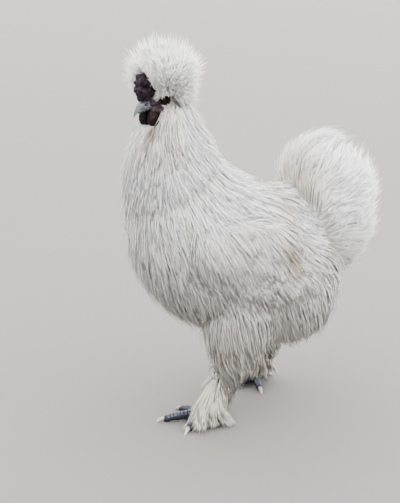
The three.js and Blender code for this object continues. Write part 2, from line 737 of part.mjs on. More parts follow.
// Point of a thigh's coat: share of the way down it, angle round it, depth under the coat
function thighPoint(path, t, round, depth) {
  const rows = path.map((row, i) => i / (path.length - 1));
  const [x, y, z, r] = [0, 1, 2, 3].map((k) => along(path.map((row, i) => [rows[i], row[k]]), t));
  const wide = Math.max(r - depth, 1);
  return vec(x + wide * Math.cos(rad(round)), y + wide * 0.86 * Math.sin(rad(round)), z);
}

function thighForm(leg, grow) {
  const steps = 5;
  const around = 12;
  const core = solid(loft(Array.from({ length: steps + 1 }, (_, i) => {
    const t = i / steps;
    const depth = thighCoat.core * Math.sin(Math.PI / 2 * Math.min(2 * (1 - t), 1)) - grow;
    return Array.from({ length: around }, (__, j) => {
      const p = thighPoint(leg.thigh, t, 360 * j / around, depth);
      p.z += i === 0 ? grow : i === steps ? -grow : 0;
      return p;
    });
  })));
  const random = seeded(thighCoat.seed + leg.inward);
  const locks = [];
  thighCoat.rows.forEach((row, k) => {
    for (let column = 0; column < thighCoat.columns; column += 1) {
      const round = 360 * (column + 0.5 * k + 0.3 * (random() - 0.5)) / thighCoat.columns;
      const share = mix(...thighCoat.length, random());
      const tipDepth = mix(-2, 2, random());
      const surface = (s, over) => thighPoint(
        leg.thigh,
        Math.min(row + share * s, 1),
        round,
        lockDepth(s, thighCoat.core, tipDepth) - over,
      );
      const at = (s) => ({ p: surface(s, 0), out: surface(0.5, 5).sub(surface(0.5, 0)) });
      const width = thighCoat.width * (k === 0 ? 1.25 : 0.85);
      locks.push(lock({ at, width, thick: thighCoat.thick }, grow));
    }
  });
  return join([core, ...locks]);
}

const [leftLeg, rightLeg] = legs;
node("thigh_left", cut(thighForm(leftLeg, 0), [...bodyRooms.slice(1), wingRoom]), colours.coat);
const rightTools = [...bodyRooms.slice(1), wingRoom, thighForm(leftLeg, gap)];
node("thigh_right", cut(thighForm(rightLeg, 0), rightTools), colours.coat);

// Legs and feet
function shank(leg, grow) {
  const low = vec(leg.foot[0], leg.foot[1], ankleHeight - grow);
  const high = vec(...leg.thigh.at(-1).slice(0, 3));
  const steps = 3;
  const points = Array.from({ length: steps + 1 }, (_, i) => low.clone().lerp(high, i / steps));
  const radii = points.map((_, i) => shankRadius * mix(1, 1.15, i / steps) + grow);
  return tube(points, radii, 8);
}

// Feathers of the shank and foot, in tiers that spread to the outer side
function fanLocks(leg) {
  const hock = leg.thigh.at(-1);
  const sole = vec(leg.foot[0], leg.foot[1], ankleHeight);
  const random = seeded(71 + leg.inward);
  const locks = [];
  for (const tier of fanTiers) {
    for (let i = 0; i < tier.count; i += 1) {
      const a = rad(mix(...leg.fan, (i + 0.5) / tier.count) + 8 * (random() - 0.5));
      const way = vec(Math.cos(a), Math.sin(a), 0);
      const climb = (tier.root - ankleHeight) / (hock[2] - ankleHeight);
      const root = sole.clone().lerp(vec(...hock.slice(0, 3)), climb);
      const reach = tier.reach * mix(0.88, 1.08, random());
      const tip = vec(leg.foot[0], leg.foot[1], tier.tip).addScaledVector(way, reach);
      const knee = root.clone().lerp(tip, 0.55).addScaledVector(way, 4);
      knee.setZ(mix(tier.tip, tier.root, 0.62) + 3);
      const line = new THREE.QuadraticBezierCurve3(root, knee, tip);
      const at = (s) => ({ p: line.getPoint(s), out: way.clone().multiplyScalar(0.6).add(vec(0, 0, 0.8)) });
      locks.push({ at, width: tier.width, thick: 2.2, root: 0.35 });
    }
  }
  return locks;
}

function toePath(leg, toe, grow) {
  const a = rad(leg.heading + leg.inward * toe.turn);
  const way = vec(Math.cos(a), Math.sin(a), 0);
  const steps = 5;
  return Array.from({ length: steps + 1 }, (_, i) => {
    const t = i / steps;
    const far = mix(3, toe.length, t) + (i === steps ? grow : 0);
    const p = vec(leg.foot[0], leg.foot[1], 0).addScaledVector(way, far);
    return p.setZ(mix(toe.root, toe.end, t) * 0.92 + 1.6 * Math.sin(Math.PI * t) + toe.rise * t);
  });
}

// A toe, ringed by its raised scutes
function toeSolid(leg, toe, grow) {
  const path = toePath(leg, toe, grow);
  const radii = path.map((_, i) => {
    const scute = i % 2 ? 0.92 : 1.05;
    return mix(toe.root, toe.end, i / (path.length - 1)) * scute + grow;
  });
  return tube(path, radii, 6);
}

function claw(leg, toe, grow) {
  const path = toePath(leg, toe, 0);
  const end = path.at(-1);
  const way = end.clone().sub(path.at(-2)).normalize();
  const steps = 2;
  const points = [];
  const radii = [];
  for (let i = 0; i <= steps; i += 1) {
    const t = i / steps;
    const p = end.clone().addScaledVector(way, (clawLength + grow) * t);
    p.z += 1.2 * Math.sin(Math.PI * t) - (end.z - 1.4) * t * t;
    points.push(p);
    radii.push(2.5 * Math.sqrt(1 - 0.95 * t) + grow);
  }
  return tube(points, radii, 5);
}

const floorBlock = new THREE.BoxGeometry(600, 600, 40);
floorBlock.translate(0, 0, -20);
const floor = solid(floorBlock);
for (const leg of legs) {
  const pad = (grow) => ball([8, 5], (d) => vec(
    leg.foot[0] + (padRadius + grow) * d.x,
    leg.foot[1] + (padRadius + grow) * d.y,
    padHeight * 0.8 + (padHeight + grow) * d.z,
  ));
  const footForm = (grow) => join([pad(grow), ...toes.map((toe) => toeSolid(leg, toe, grow))]);
  node(`foot_${leg.side}`, cut(footForm(0), [floor, shank(leg, gap)]), colours.toe);
  const claws = toes.map((toe) => claw(leg, toe, gap));
  const locks = fanLocks(leg).map((form) => lock(form, 0));
  const feathered = cut(join(locks), [floor, footForm(gap), ...claws]);
  const whole = cut(feathered.add(shank(leg, 0)), [thighForm(leg, gap)]);
  node(`shank_${leg.side}`, whole, colours.coat);
  for (const toe of toes) {
    node(`claw_${leg.side}_${toe.name}`, claw(leg, toe, 0).subtract(toeSolid(leg, toe, gap)), colours.claw);
  }
}

// The origin is the middle of the underside of the whole bird's box
const box = new THREE.Box3().setFromObject(group);
group.position.set(-(box.min.x + box.max.x) / 2, -(box.min.y + box.max.y) / 2, -box.min.z);

export default group;
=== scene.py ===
import math
import bpy
import numpy as np
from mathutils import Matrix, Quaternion, Vector, noise
from mathutils.bvhtree import BVHTree
from mathutils.kdtree import KDTree


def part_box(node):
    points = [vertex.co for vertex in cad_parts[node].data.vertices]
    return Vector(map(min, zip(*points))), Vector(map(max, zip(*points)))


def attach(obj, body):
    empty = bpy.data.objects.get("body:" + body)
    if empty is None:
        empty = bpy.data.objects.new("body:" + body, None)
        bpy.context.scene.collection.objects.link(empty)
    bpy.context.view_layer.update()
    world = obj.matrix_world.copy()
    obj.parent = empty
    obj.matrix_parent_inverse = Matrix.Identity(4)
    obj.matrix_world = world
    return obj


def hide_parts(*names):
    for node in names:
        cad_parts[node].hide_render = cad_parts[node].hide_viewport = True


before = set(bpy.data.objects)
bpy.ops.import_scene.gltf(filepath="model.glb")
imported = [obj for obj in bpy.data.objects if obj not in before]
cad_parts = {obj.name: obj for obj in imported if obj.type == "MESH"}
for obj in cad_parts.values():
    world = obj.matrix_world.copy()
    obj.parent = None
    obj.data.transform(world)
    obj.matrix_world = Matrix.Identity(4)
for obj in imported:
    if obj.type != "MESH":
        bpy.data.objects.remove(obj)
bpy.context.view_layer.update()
print("frame loaded")

# Everything is laid out in millimetres, with the bird facing -X, and moved to the frame's place when made.
# The neck, breast and belly sweep round one line across the body.
body = {
    "pivot": (45, 331),
    "back": [(185, 85), (192, 80), (205, 79), (220, 81), (233, 84), (245, 87), (257, 90), (282, 92),
             (292, 97)],
    "front": [(185, 127), (189, 133), (194, 144), (203, 161), (214, 181), (222, 199), (233, 226),
              (245, 240), (257, 247), (268, 256), (277, 262), (283, 250), (289, 218)],
    "half": [(185, 25), (192, 29), (203, 40), (214, 53), (222, 62), (233, 72),
             (245, 77), (257, 79), (270, 78), (280, 73), (287, 66), (292, 60)],
    "rump": 281,
    "closing": 18,
    "valley": {"start": 264, "over": 12, "deep": 11},  # the hollow between saddle and tail
    "depthAt": [186, 215, 227, 300],
    "coatDepth": [7.5, 7.5, 9.5, 9.5],  # how deep the skin lies below the coat's outline
    "skinDepth": [6.5, 6.5, 8.5, 8.5],
}
head = {
    "centre": (-68, 0, 330), "turn": 24, "tip": 8, "skull": (23, 13, 16.5),
    "cheeks": [((13, 8.6, -9), (5.2, 3.6, 3.6)), ((18, 6.2, -7.5), (5.0, 3.0, 3.8)),
               ((17, 5.6, -1.5), (6, 3.4, 3))],
}
eye = {
    "at": (9, 12.6, 0), "size": (4.9, 3.2, 4.2), "lid": 1.3, "look": (0.15, 0.98, 0.05),
    "pupil": (0.0012, 0.001, 0.001), "iris": (0.01, 0.004, 0.002), "ring": (0.005, 0.003, 0.003),
}


def unit(v):
    return v / np.maximum(np.linalg.norm(v, axis=-1, keepdims=True), 1e-9)


def mix(a, b, t):
    a, b = np.asarray(a), np.asarray(b)
    return a + (b - a) * t


def clamped(share):
    return np.clip(share, 0, 1)


def scaled(points, at, size):  # places from a room's middle, in shares of its size
    return (points - np.array(at)) / np.array(size)


def curve(pairs, x):  # smooth line through pairs
    xs = np.array([p[0] for p in pairs], float)
    ys = np.array([p[1] for p in pairs], float)
    before = np.maximum(np.arange(len(xs)) - 1, 0)
    after = np.minimum(np.arange(len(xs)) + 1, len(xs) - 1)
    slopes = (ys[after] - ys[before]) / (xs[after] - xs[before])
    x = np.clip(np.asarray(x, float), xs[0], xs[-1])
    i = np.clip(np.searchsorted(xs, x, "right") - 1, 0, len(xs) - 2)
    h = xs[i + 1] - xs[i]
    t = (x - xs[i]) / h
    level = ys[i] * (1 + 2 * t) * (1 - t) ** 2 + ys[i + 1] * t * t * (3 - 2 * t)
    return level + slopes[i] * h * t * (1 - t) ** 2 + slopes[i + 1] * h * t * t * (t - 1)


def pivotFar(x, z):
    return np.hypot(x - body["pivot"][0], z - body["pivot"][1])


def pivotAngle(x, z):
    return 360 + np.degrees(np.arctan2(z - body["pivot"][1], x - body["pivot"][0]))


def angleOf(p):
    return pivotAngle(p[:, 0], p[:, 2])


def bodyPlace(x, z):  # angle round the pivot, and share across: -1 at the back, 1 at the front
    angle = pivotAngle(x, z)
    back = curve(body["back"], angle)
    front = curve(body["front"], angle)
    return angle, (pivotFar(x, z) - (front + back) / 2) / ((front - back) / 2)


def bodyPoint(angle, turn, depth):  # angle round the pivot, turn from the breast to the bird's left, depth
    back = curve(body["back"], angle)
    front = curve(body["front"], angle)
    shut = np.sqrt(1 - clamped((angle - body["rump"]) / body["closing"]) ** 3)
    deep = np.maximum((front - back) / 2 * shut - depth, 0.5)
    wide = np.maximum(curve(body["half"], angle) * shut - depth, 0.5)
    r = (front + back) / 2 + deep * np.cos(np.radians(turn))
    y = -wide * np.sin(np.radians(turn)) + 0 * r
    x = body["pivot"][0] + r * np.cos(np.radians(angle))
    z = body["pivot"][1] + r * np.sin(np.radians(angle))
    return np.stack(np.broadcast_arrays(x, y, z), -1)


def valleyAt(angle, turn):  # how deep the hollow between saddle and tail is, 0 to 1
    low = clamped((0.35 - np.cos(np.radians(turn))) / 0.4)
    return low * clamped((angle - body["valley"]["start"]) / body["valley"]["over"])


headX = Quaternion((0, 0, 1), math.radians(head["turn"])) @ Vector((-1, 0, 0))
headY = Vector((0, 0, 1)).cross(headX).normalized()
headX = Quaternion(headY, math.radians(head["tip"])) @ headX
headZ = headX.cross(headY)
headAxes = np.array([headX, headY, headZ])


def headSpot(place):  # from the head's own axes to the bird's
    return np.array(head["centre"]) + place @ headAxes


def headPoint(forward, left, up):
    return headSpot(np.stack(np.broadcast_arrays(forward, left, up), -1))


def headPlace(points):
    return (points - np.array(head["centre"])) @ headAxes.T


eyeBox = [np.array(corner) * 1000 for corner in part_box("eye_left")]
shift = (eyeBox[0] + eyeBox[1]) / 2 - headPoint(*eye["at"])


# Meshes
def finishPiece(piece, nodes):
    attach(piece, "root")
    if nodes:
        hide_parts(*nodes)


def makeObject(name, points, faces, material, nodes, attributes, uvs=()):
    mesh = bpy.data.meshes.new(name)
    points = (np.asarray(points) + shift) / 1000
    faces = np.asarray(faces)
    mesh.vertices.add(len(points))
    mesh.vertices.foreach_set("co", points.astype(np.float32).ravel())
    mesh.loops.add(faces.size)
    mesh.loops.foreach_set("vertex_index", faces.astype(np.int32).ravel())
    mesh.polygons.add(len(faces))
    mesh.polygons.foreach_set("loop_start", np.arange(0, faces.size, faces.shape[1], dtype=np.int32))
    for layer, values in uvs:
        made = mesh.uv_layers.new(name=layer)
        made.data.foreach_set("uv", values[faces.ravel()].astype(np.float32).ravel())
    for attribute, values in attributes:
        kind = "FLOAT_COLOR" if values.ndim == 2 else "FLOAT"
        made = mesh.attributes.new(attribute, kind, "POINT")
        if values.ndim == 2:
            values = np.concatenate([values, np.ones((len(values), 1))], 1)
            made.data.foreach_set("color", values.astype(np.float32).ravel())
        else:
            made.data.foreach_set("value", values.astype(np.float32))
    mesh.update(calc_edges=True)
    mesh.polygons.foreach_set("use_smooth", np.full(len(faces), True))
    made = bpy.data.objects.new(name, mesh)
    bpy.context.scene.collection.objects.link(made)
    mesh.materials.append(material)
    finishPiece(made, nodes)


def loft(rings):  # rings of points, closed at both ends
    rings = np.asarray(rings)
    count, around = rings.shape[:2]
    points = np.concatenate([rings.reshape(-1, 3), rings[:1].mean(1), rings[-1:].mean(1)])
    i, j = np.meshgrid(np.arange(count - 1), np.arange(around), indexing="ij")
    a = (i * around + j).ravel()
    b = (i * around + (j + 1) % around).ravel()
    faces = [np.stack([a, b, b + around], 1), np.stack([a, b + around, a + around], 1)]
    j = np.arange(around)
    last = (count - 1) * around
    first = len(points) - 2
    faces.append(np.stack([(j + 1) % around, j, np.full(around, first)], 1))
    faces.append(np.stack([last + j, last + (j + 1) % around, np.full(around, first + 1)], 1))
    faces = np.concatenate(faces)
    a, b, c = (points[faces[:, k]] for k in range(3))
    if np.einsum("ij,ij->", a, np.cross(b, c)) < 0:
        faces = faces[:, ::-1]
    return points, faces


def ball(around, high, place):  # place moves the directions of a sphere
    polar = np.linspace(0.04, math.pi - 0.04, high)
    turn = np.linspace(0, 2 * math.pi, around, endpoint=False)
    p, t = np.meshgrid(polar, turn, indexing="ij")
    return loft(place(np.stack([np.sin(p) * np.cos(t), np.sin(p) * np.sin(t), np.cos(p)], -1)))


def directions(around, high):
    d, faces = ball(around, high, lambda d: d)
    return unit(d), faces


def tube(path, radii, around, floor=None):
    path = np.asarray(path, float)
    way = unit(np.gradient(path, axis=0))
    flat = np.abs(way[:, 2:3]) > 0.9
    side = unit(np.cross(way, np.where(flat, [[1, 0, 0]], [[0, 0, 1]])))
    over = np.cross(side, way)
    a = 2 * math.pi * (np.arange(around) + 0.5) / around
    ring = side[:, None] * np.cos(a)[None, :, None] + over[:, None] * np.sin(a)[None, :, None]
    rings = path[:, None] + ring * np.asarray(radii)[:, None, None]
    if floor is not None:
        rings[..., 2] = np.maximum(rings[..., 2], floor)
    return loft(rings)


def joined(parts):
    points, faces, start = [], [], 0
    for p, f in parts:
        points.append(p)
        faces.append(f + start)
        start += len(p)
    return np.concatenate(points), np.concatenate(faces)


def fused(parts, voxel, smoothing):  # one closed skin over overlapping closed parts
    points, faces = joined(parts)
    mesh = bpy.data.meshes.new("fused")
    mesh.from_pydata(points.tolist(), [], faces.tolist())
    held = bpy.data.objects.new("fused", mesh)
    bpy.context.scene.collection.objects.link(held)
    remesh = held.modifiers.new("remesh", "REMESH")
    remesh.mode = "VOXEL"
    remesh.voxel_size = voxel
    smooth = held.modifiers.new("smooth", "SMOOTH")
    smooth.factor = 0.5
    smooth.iterations = smoothing
    result = readMesh(held)
    bpy.data.objects.remove(held)
    return result


def readMesh(held):
    made = bpy.data.meshes.new_from_object(held.evaluated_get(bpy.context.evaluated_depsgraph_get()))
    made.calc_loop_triangles()
    points = np.empty(len(made.vertices) * 3, np.float32)
    made.vertices.foreach_get("co", points)
    faces = np.empty(len(made.loop_triangles) * 3, np.int32)
    made.loop_triangles.foreach_get("vertices", faces)
    bpy.data.meshes.remove(made)
    return points.reshape(-1, 3).astype(float), faces.reshape(-1, 3)


def noiseAt(points, scale, seed=0.0):
    return np.array([noise.noise(Vector(p) * scale + Vector((seed, seed, seed))) for p in points])


# Materials
def newMaterial(name, roughness, **sockets):
    material = bpy.data.materials.new(name)
    material.use_nodes = True
    tree = material.node_tree
    shader = tree.nodes["Principled BSDF"]
    shader.inputs["Roughness"].default_value = roughness
    for socket, value in sockets.items():
        shader.inputs[socket.replace("_", " ")].default_value = value
    return material, tree, shader


def addNode(tree, kind, **values):
    made = tree.nodes.new(kind)
    for key, value in values.items():
        if key.startswith("in_"):
            made.inputs[key[3:].replace("_", " ")].default_value = value
        else:
            setattr(made, key, value)
    return made


def noiseOn(tree, scale, detail=4.0, roughness=0.55, stretch=None, source=None):
    texture = addNode(tree, "ShaderNodeTexNoise", in_Scale=scale, in_Detail=detail, in_Roughness=roughness)
    place = source or addNode(tree, "ShaderNodeTexCoord").outputs["Object"]
    if stretch:
        mapping = addNode(tree, "ShaderNodeMapping")
        mapping.inputs["Scale"].default_value = stretch
        tree.links.new(place, mapping.inputs["Vector"])
        place = mapping.outputs["Vector"]
    tree.links.new(place, texture.inputs["Vector"])
    return texture


def cellsOn(tree, scale, feature="F1"):
    texture = addNode(tree, "ShaderNodeTexVoronoi", in_Scale=scale, feature=feature)
    tree.links.new(addNode(tree, "ShaderNodeTexCoord").outputs["Object"], texture.inputs["Vector"])
    return texture


def tinted(tree, factor, low, high, start=0.3, end=0.7):
    ramp = addNode(tree, "ShaderNodeValToRGB")
    ramp.color_ramp.elements[0].position = start
    ramp.color_ramp.elements[0].color = (*low, 1)
    ramp.color_ramp.elements[1].position = end
    ramp.color_ramp.elements[1].color = (*high, 1)
    tree.links.new(factor, ramp.inputs["Fac"])
    return ramp.outputs["Color"]


def blended(tree, factor, a, b, way="MIX"):
    made = addNode(tree, "ShaderNodeMix", data_type="RGBA", blend_type=way)
    for socket, value in ((made.inputs[0], factor), (made.inputs[6], a), (made.inputs[7], b)):
        if isinstance(value, bpy.types.NodeSocket):
            tree.links.new(value, socket)
        else:
            socket.default_value = value
    return made.outputs[2]


def coloured(tree, shader, base, tone):
    tree.links.new(blended(tree, 1.0, base, tone, "MULTIPLY"), shader.inputs["Base Color"])


def relief(tree, cells, share, folds):  # cells stand on the folds, or are sunk in them
    height = addNode(tree, "ShaderNodeMath", operation="MULTIPLY_ADD")
    tree.links.new(cells.outputs["Distance"], height.inputs[0])
    height.inputs[1].default_value = share
    tree.links.new(folds.outputs["Fac"], height.inputs[2])
    return height.outputs[0]


def bumped(tree, shader, height, strength, distance):
    bump = addNode(tree, "ShaderNodeBump", in_Strength=strength, in_Distance=distance)
    tree.links.new(height, bump.inputs["Height"])
    tree.links.new(bump.outputs["Normal"], shader.inputs["Normal"])


def readAttribute(tree, name, output="Color"):
    return addNode(tree, "ShaderNodeAttribute", attribute_name=name).outputs[output]


def plumageMaterial():
    material, tree, shader = newMaterial(
        "shreddedPlumage", 0.85, Specular_IOR_Level=0.3, Sheen_Weight=0.3, Sheen_Roughness=0.5,
        Subsurface_Weight=0.35, Subsurface_Scale=0.002, Subsurface_Radius=(1, 0.95, 0.85))
    strand = addNode(tree, "ShaderNodeUVMap", uv_map="strand").outputs["UV"]
    barbs = noiseOn(tree, 14, 3, 0.6, (1.6, 0.22, 1), strand)
    grey = tinted(tree, barbs.outputs["Fac"], (0.965, 0.96, 0.955), (1, 1, 1), 0.3, 0.62)
    coloured(tree, shader, readAttribute(tree, "coatColour"), grey)
    # light falls as on the lie of the coat, not on each strand's own sides
    lie = addNode(tree, "ShaderNodeVectorMath", operation="MULTIPLY_ADD")
    tree.links.new(readAttribute(tree, "coatNormal"), lie.inputs[0])
    lie.inputs[1].default_value = (2, 2, 2)
    lie.inputs[2].default_value = (-1, -1, -1)
    own = addNode(tree, "ShaderNodeNewGeometry").outputs["Normal"]
    soft = addNode(tree, "ShaderNodeMix", data_type="VECTOR")
    soft.inputs[0].default_value = 0.95
    tree.links.new(own, soft.inputs[4])
    tree.links.new(lie.outputs[0], soft.inputs[5])
    even = addNode(tree, "ShaderNodeVectorMath", operation="NORMALIZE")
    tree.links.new(soft.outputs[1], even.inputs[0])
    tree.links.new(even.outputs[0], shader.inputs["Normal"])
    return material


def skinMaterial():
    material, tree, shader = newMaterial("bareSkin", 0.55, Specular_IOR_Level=0.2)
    folds = noiseOn(tree, 430, 5, 0.65)
    grains = cellsOn(tree, 1500.0)
    mottle = tinted(tree, folds.outputs["Fac"], (0.35, 0.33, 0.35), (1.6, 1.5, 1.5), 0.36, 0.66)
    base = readAttribute(tree, "skinColour")
    bare = addNode(tree, "ShaderNodeMapRange", in_From_Min=0.5, in_From_Max=0.2)
    tree.links.new(base, bare.inputs["Value"])
    colour = blended(tree, bare.outputs[0], base, blended(tree, 1.0, base, mottle, "MULTIPLY"))
    tree.links.new(colour, shader.inputs["Base Color"])
    bumped(tree, shader, relief(tree, grains, 0.5, folds), 0.35, 0.0004)
    return material


def fleshMaterial(name, dark, light, roughness, grain, bump):
    material, tree, shader = newMaterial(name, roughness, Specular_IOR_Level=0.12)
    folds = noiseOn(tree, grain, 6, 0.62)
    warts = cellsOn(tree, grain * 1.7, "SMOOTH_F1")
    base = tinted(tree, folds.outputs["Fac"], dark, light, 0.3, 0.72)
    # painted shade and painted highlight: the crest attribute darkens the flesh in its grooves and lightens
    # it where it stands out
    tone = tinted(tree, readAttribute(tree, "crest", "Fac"), (0.45, 0.45, 0.45), (1.25, 1.25, 1.25), 0.0, 1.0)
    coloured(tree, shader, base, tone)
    bumped(tree, shader, relief(tree, warts, -0.8, folds), bump, 0.0006)
    return material


def hornMaterial(name, roughness, attribute, coat=0.2):
    material, tree, shader = newMaterial(
        name, roughness, Specular_IOR_Level=0.3, Coat_Weight=coat, Coat_Roughness=0.25)
    layers = noiseOn(tree, 260, 4, 0.5, (1, 1, 3.5))
    shade = tinted(tree, layers.outputs["Fac"], (0.72, 0.72, 0.72), (1.15, 1.15, 1.15), 0.32, 0.68)
    coloured(tree, shader, readAttribute(tree, attribute), shade)
    bumped(tree, shader, layers.outputs["Fac"], 0.15, 0.0003)
    return material


plumage = plumageMaterial()
skin = skinMaterial()
print("materials made")


# Skin: thighs, wings and legs stand on the body, and one closed mesh covers them all
thighs = {
    "left": [(10, -34, 126, 40), (-1, -35, 102, 39), (-5, -36, 82, 29), (-9, -37, 65, 19), (-13, -37, 55, 14),
             (-18, -36, 48, 9)],
    "right": [(54, 34, 124, 38), (62, 38, 100, 32), (67, 42, 80, 24), (69, 44, 64, 17), (67, 45, 52, 13),
              (63, 46, 42, 9)],
    "core": 8,
    "flat": 0.86,
}
wing = {
    "top": [(-66, 192), (-52, 212), (-30, 219), (-4, 216), (22, 206), (44, 190), (56, 176)],
    "low": [(-66, 184), (-54, 170), (-32, 157), (-4, 152), (20, 153), (42, 158), (56, 168)],
    "bulge": {"at": (-6.0, 0.0, 184.0), "size": (54, 9, 27), "sunk": 10.0},
}


def thighPoint(side, t, turn, depth):
    path = thighs[side]
    steps = np.linspace(0, 1, len(path))
    x, y, z, r = (curve(list(zip(steps, [row[k] for row in path])), t) for k in range(4))
    wide = np.maximum(r - depth, 1)
    return np.stack(np.broadcast_arrays(
        x + wide * np.cos(np.radians(turn)), y + wide * thighs["flat"] * np.sin(np.radians(turn)), z), -1)


legs = {
    "left": {"foot": (-38, -26), "heading": 166, "inward": -1, "fan": (212, 318)},
    "right": {"foot": (57, 50), "heading": 206, "inward": 1, "fan": (10, 150)},
}
feet = {"shank": 6.2, "ankle": 13, "pad": 9.5, "high": 8}
toes = [
    {"name": "inner", "turn": 52, "length": 29, "root": 5, "end": 3.4, "rise": 0},
    {"name": "middle", "turn": 0, "length": 37, "root": 5.4, "end": 3.5, "rise": 0},
    {"name": "outer", "turn": -58, "length": 31, "root": 5, "end": 3.4, "rise": 0},
    {"name": "hind", "turn": 172, "length": 20, "root": 4.8, "end": 3.3, "rise": 0},
    {"name": "fifth", "turn": 140, "length": 18, "root": 4, "end": 2.8, "rise": 13},
]


def sidePoint(x, z, lift, sign):
    angle, across = bodyPlace(x, z)
    u = np.clip(across, -0.93, 0.93)
    y = sign * -(curve(body["half"], angle) * np.sqrt(1 - u * u) + lift)
    return np.stack(np.broadcast_arrays(x, y, z), -1)


# rootTone is a little lighter than tipTone: painted light against the shade within the crest
crest = {"centre": (-67, 0, 350.5), "radius": 34, "root": (-64, 0, 345), "way": (0.05, 0, -1), "lean": 0.13,
         "core": 0.52, "arch": 1.15, "count": 19000, "inner": 0.76, "ragged": 0.045, "every": (150, 9),
         "pull": (0.15, 0.3), "stray": 0.9, "mess": 0.1, "down": (-63, 2, 351), "skin": 21, "under": 0.4,
         "steps": (0, 0.36, 0.7, 1.0), "width": 0.76, "flat": 0.9, "stir": 0.5, "seed": 47,
         "tipTone": (0.92, 0.905, 0.87), "rootTone": (0.93, 0.915, 0.875), "frayed": (0.3, 13)}
tail = {"centre": (111, 0, 209), "size": (48, 61, 76), "full": 2.1, "way": (-0.7, 0, -0.75), "lean": 0.34,
        "core": 0.72, "skin": 0.76, "arch": 1.35, "count": 23400, "inner": 0.8, "ragged": 0.035,
        "every": (220, 10), "pull": (0.2, 0.36), "stray": 1.3, "mess": 0.08, "under": 0.4,
        "steps": (0, 0.36, 0.7, 1.0), "width": 1.15, "stir": 0.8, "seed": 59,
        "frayed": (0.4, 11)}


def tailPlace(way, far):
    norm = (np.abs(way) ** tail["full"]).sum(-1, keepdims=True) ** (1 / tail["full"])
    return np.array(tail["centre"]) + np.array(tail["size"]) * way * far / norm


def toePath(side, toe, steps=22):
    leg = legs[side]
    a = math.radians(leg["heading"] + leg["inward"] * toe["turn"])
    t = np.linspace(0, 1, steps)
    far = mix(3, toe["length"], t)
    z = mix(toe["root"], toe["end"], t) * 0.92 + 1.6 * np.sin(math.pi * t) + toe["rise"] * t
    return np.stack([leg["foot"][0] + far * math.cos(a), leg["foot"][1] + far * math.sin(a), z], 1)


def footParts(side):
    leg = legs[side]
    parts = [ball(28, 18, lambda d: np.array([*leg["foot"], feet["high"] * 0.8])
                  + d * np.array([feet["pad"], feet["pad"], feet["high"]]))]
    for toe in toes:
        path = toePath(side, toe)
        t = np.linspace(0, 1, len(path))
        pads = 1 + 0.06 * np.cos(2 * math.pi * 3 * t)
        parts.append(tube(path, mix(toe["root"], toe["end"], t) * pads, 16, 0.0))
        end = path[-1]
        parts.append(ball(14, 10, lambda d: end + d * toe["end"] * 0.98 * np.array([1, 1, 0.95])))
    low = np.array([*leg["foot"], feet["ankle"] - 2], float)
    high = np.array(thighs[side][-1][:3], float) + np.array([0, 0, 6])
    line = np.array([mix(low, high, t) for t in np.linspace(0, 1, 12)])
    parts.append(tube(line, np.linspace(feet["shank"], feet["shank"] * 1.15, 12), 20))
    return [(np.stack([p[:, 0], p[:, 1], np.maximum(p[:, 2], 0.05)], 1), f) for p, f in parts]


def lidRing(sign):
    a = np.linspace(0, 2 * math.pi, 56, endpoint=False)
    b = np.linspace(0, 2 * math.pi, 10, endpoint=False)
    a, b = np.meshgrid(a, b, indexing="ij")
    out = 1.0 + np.cos(b)
    thick = eye["lid"] * np.where(np.sin(a) > 0, 1.2, 0.85)
    forward = eye["at"][0] + (eye["size"][0] + thick * (0.05 + 0.75 * out)) * np.cos(a)
    up = eye["at"][2] + (eye["size"][2] * 0.72 + thick * 0.5 * out) * np.sin(a) + 0.35 * (1 - np.cos(a))
    left = eye["at"][1] - 1.4 * np.abs(np.cos(a)) + thick * (0.62 * np.sin(b) - 0.25)
    rings = headPoint(forward, sign * left, up)
    count, around = rings.shape[:2]
    i, j = np.meshgrid(np.arange(count), np.arange(around), indexing="ij")
    p, q = (i * around + j).ravel(), (((i + 1) % count) * around + j).ravel()
    r, s = (((i + 1) % count) * around + (j + 1) % around).ravel(), (i * around + (j + 1) % around).ravel()
    faces = np.concatenate([np.stack([p, q, r], 1), np.stack([p, r, s], 1)])
    return rings.reshape(-1, 3), faces if sign < 0 else faces[:, ::-1]


def headParts():
    size = np.array(head["skull"])
    parts = [ball(60, 44, lambda d: headSpot(d * size))]
    for sign in (1, -1):
        for at, reach in head["cheeks"]:
            place = np.array(at) * np.array([1, sign, 1])
            parts.append(ball(24, 16, lambda d: headSpot(place + d * np.array(reach))))
        parts.append(lidRing(sign))
    parts.append(ball(40, 28, lambda d: np.array(crest["down"]) + d * crest["skin"]))
    neckLine = np.array([headPoint(-4, 0, -6), headPoint(-5, 0, -16), (-74, 0, 300)])
    parts.append(tube(neckLine, [11, 12, 17], 24))
    return parts


def bodyParts():
    angles = np.concatenate([np.linspace(186, 281, 44), np.linspace(282.5, 297, 9)])
    turns = np.linspace(0, 360, 48, endpoint=False)
    around = np.linspace(0, 360, 24, endpoint=False)
    depth = np.interp(angles, body["depthAt"], body["skinDepth"])
    depth = depth[:, None] + body["valley"]["deep"] * valleyAt(angles[:, None], turns[None])
    parts = [loft(bodyPoint(angles[:, None], turns[None], depth))]
    for side in ("left", "right"):
        t = np.linspace(0, 1, 16)
        depth = thighs["core"] * np.sin(math.pi / 2 * np.minimum(2 * (1 - t), 1))
        parts.append(loft(thighPoint(side, t[:, None], around[None], depth[:, None])))
        sign = 1 if side == "left" else -1
        bulge = wing["bulge"]
        out = sidePoint(bulge["at"][0], bulge["at"][2], -bulge["sunk"], sign) * np.array([0, 1, 0])
        parts.append(ball(28, 18, lambda d: np.array(bulge["at"]) + d * np.array(bulge["size"]) + out))
    parts.append(ball(30, 20, lambda d: tailPlace(d, tail["skin"])))
    line = np.array([(52, 0, 200), (80, 0, 204), (100, 0, 206)], float)
    parts.append(tube(line, [32, 30, 24], 24))
    return parts


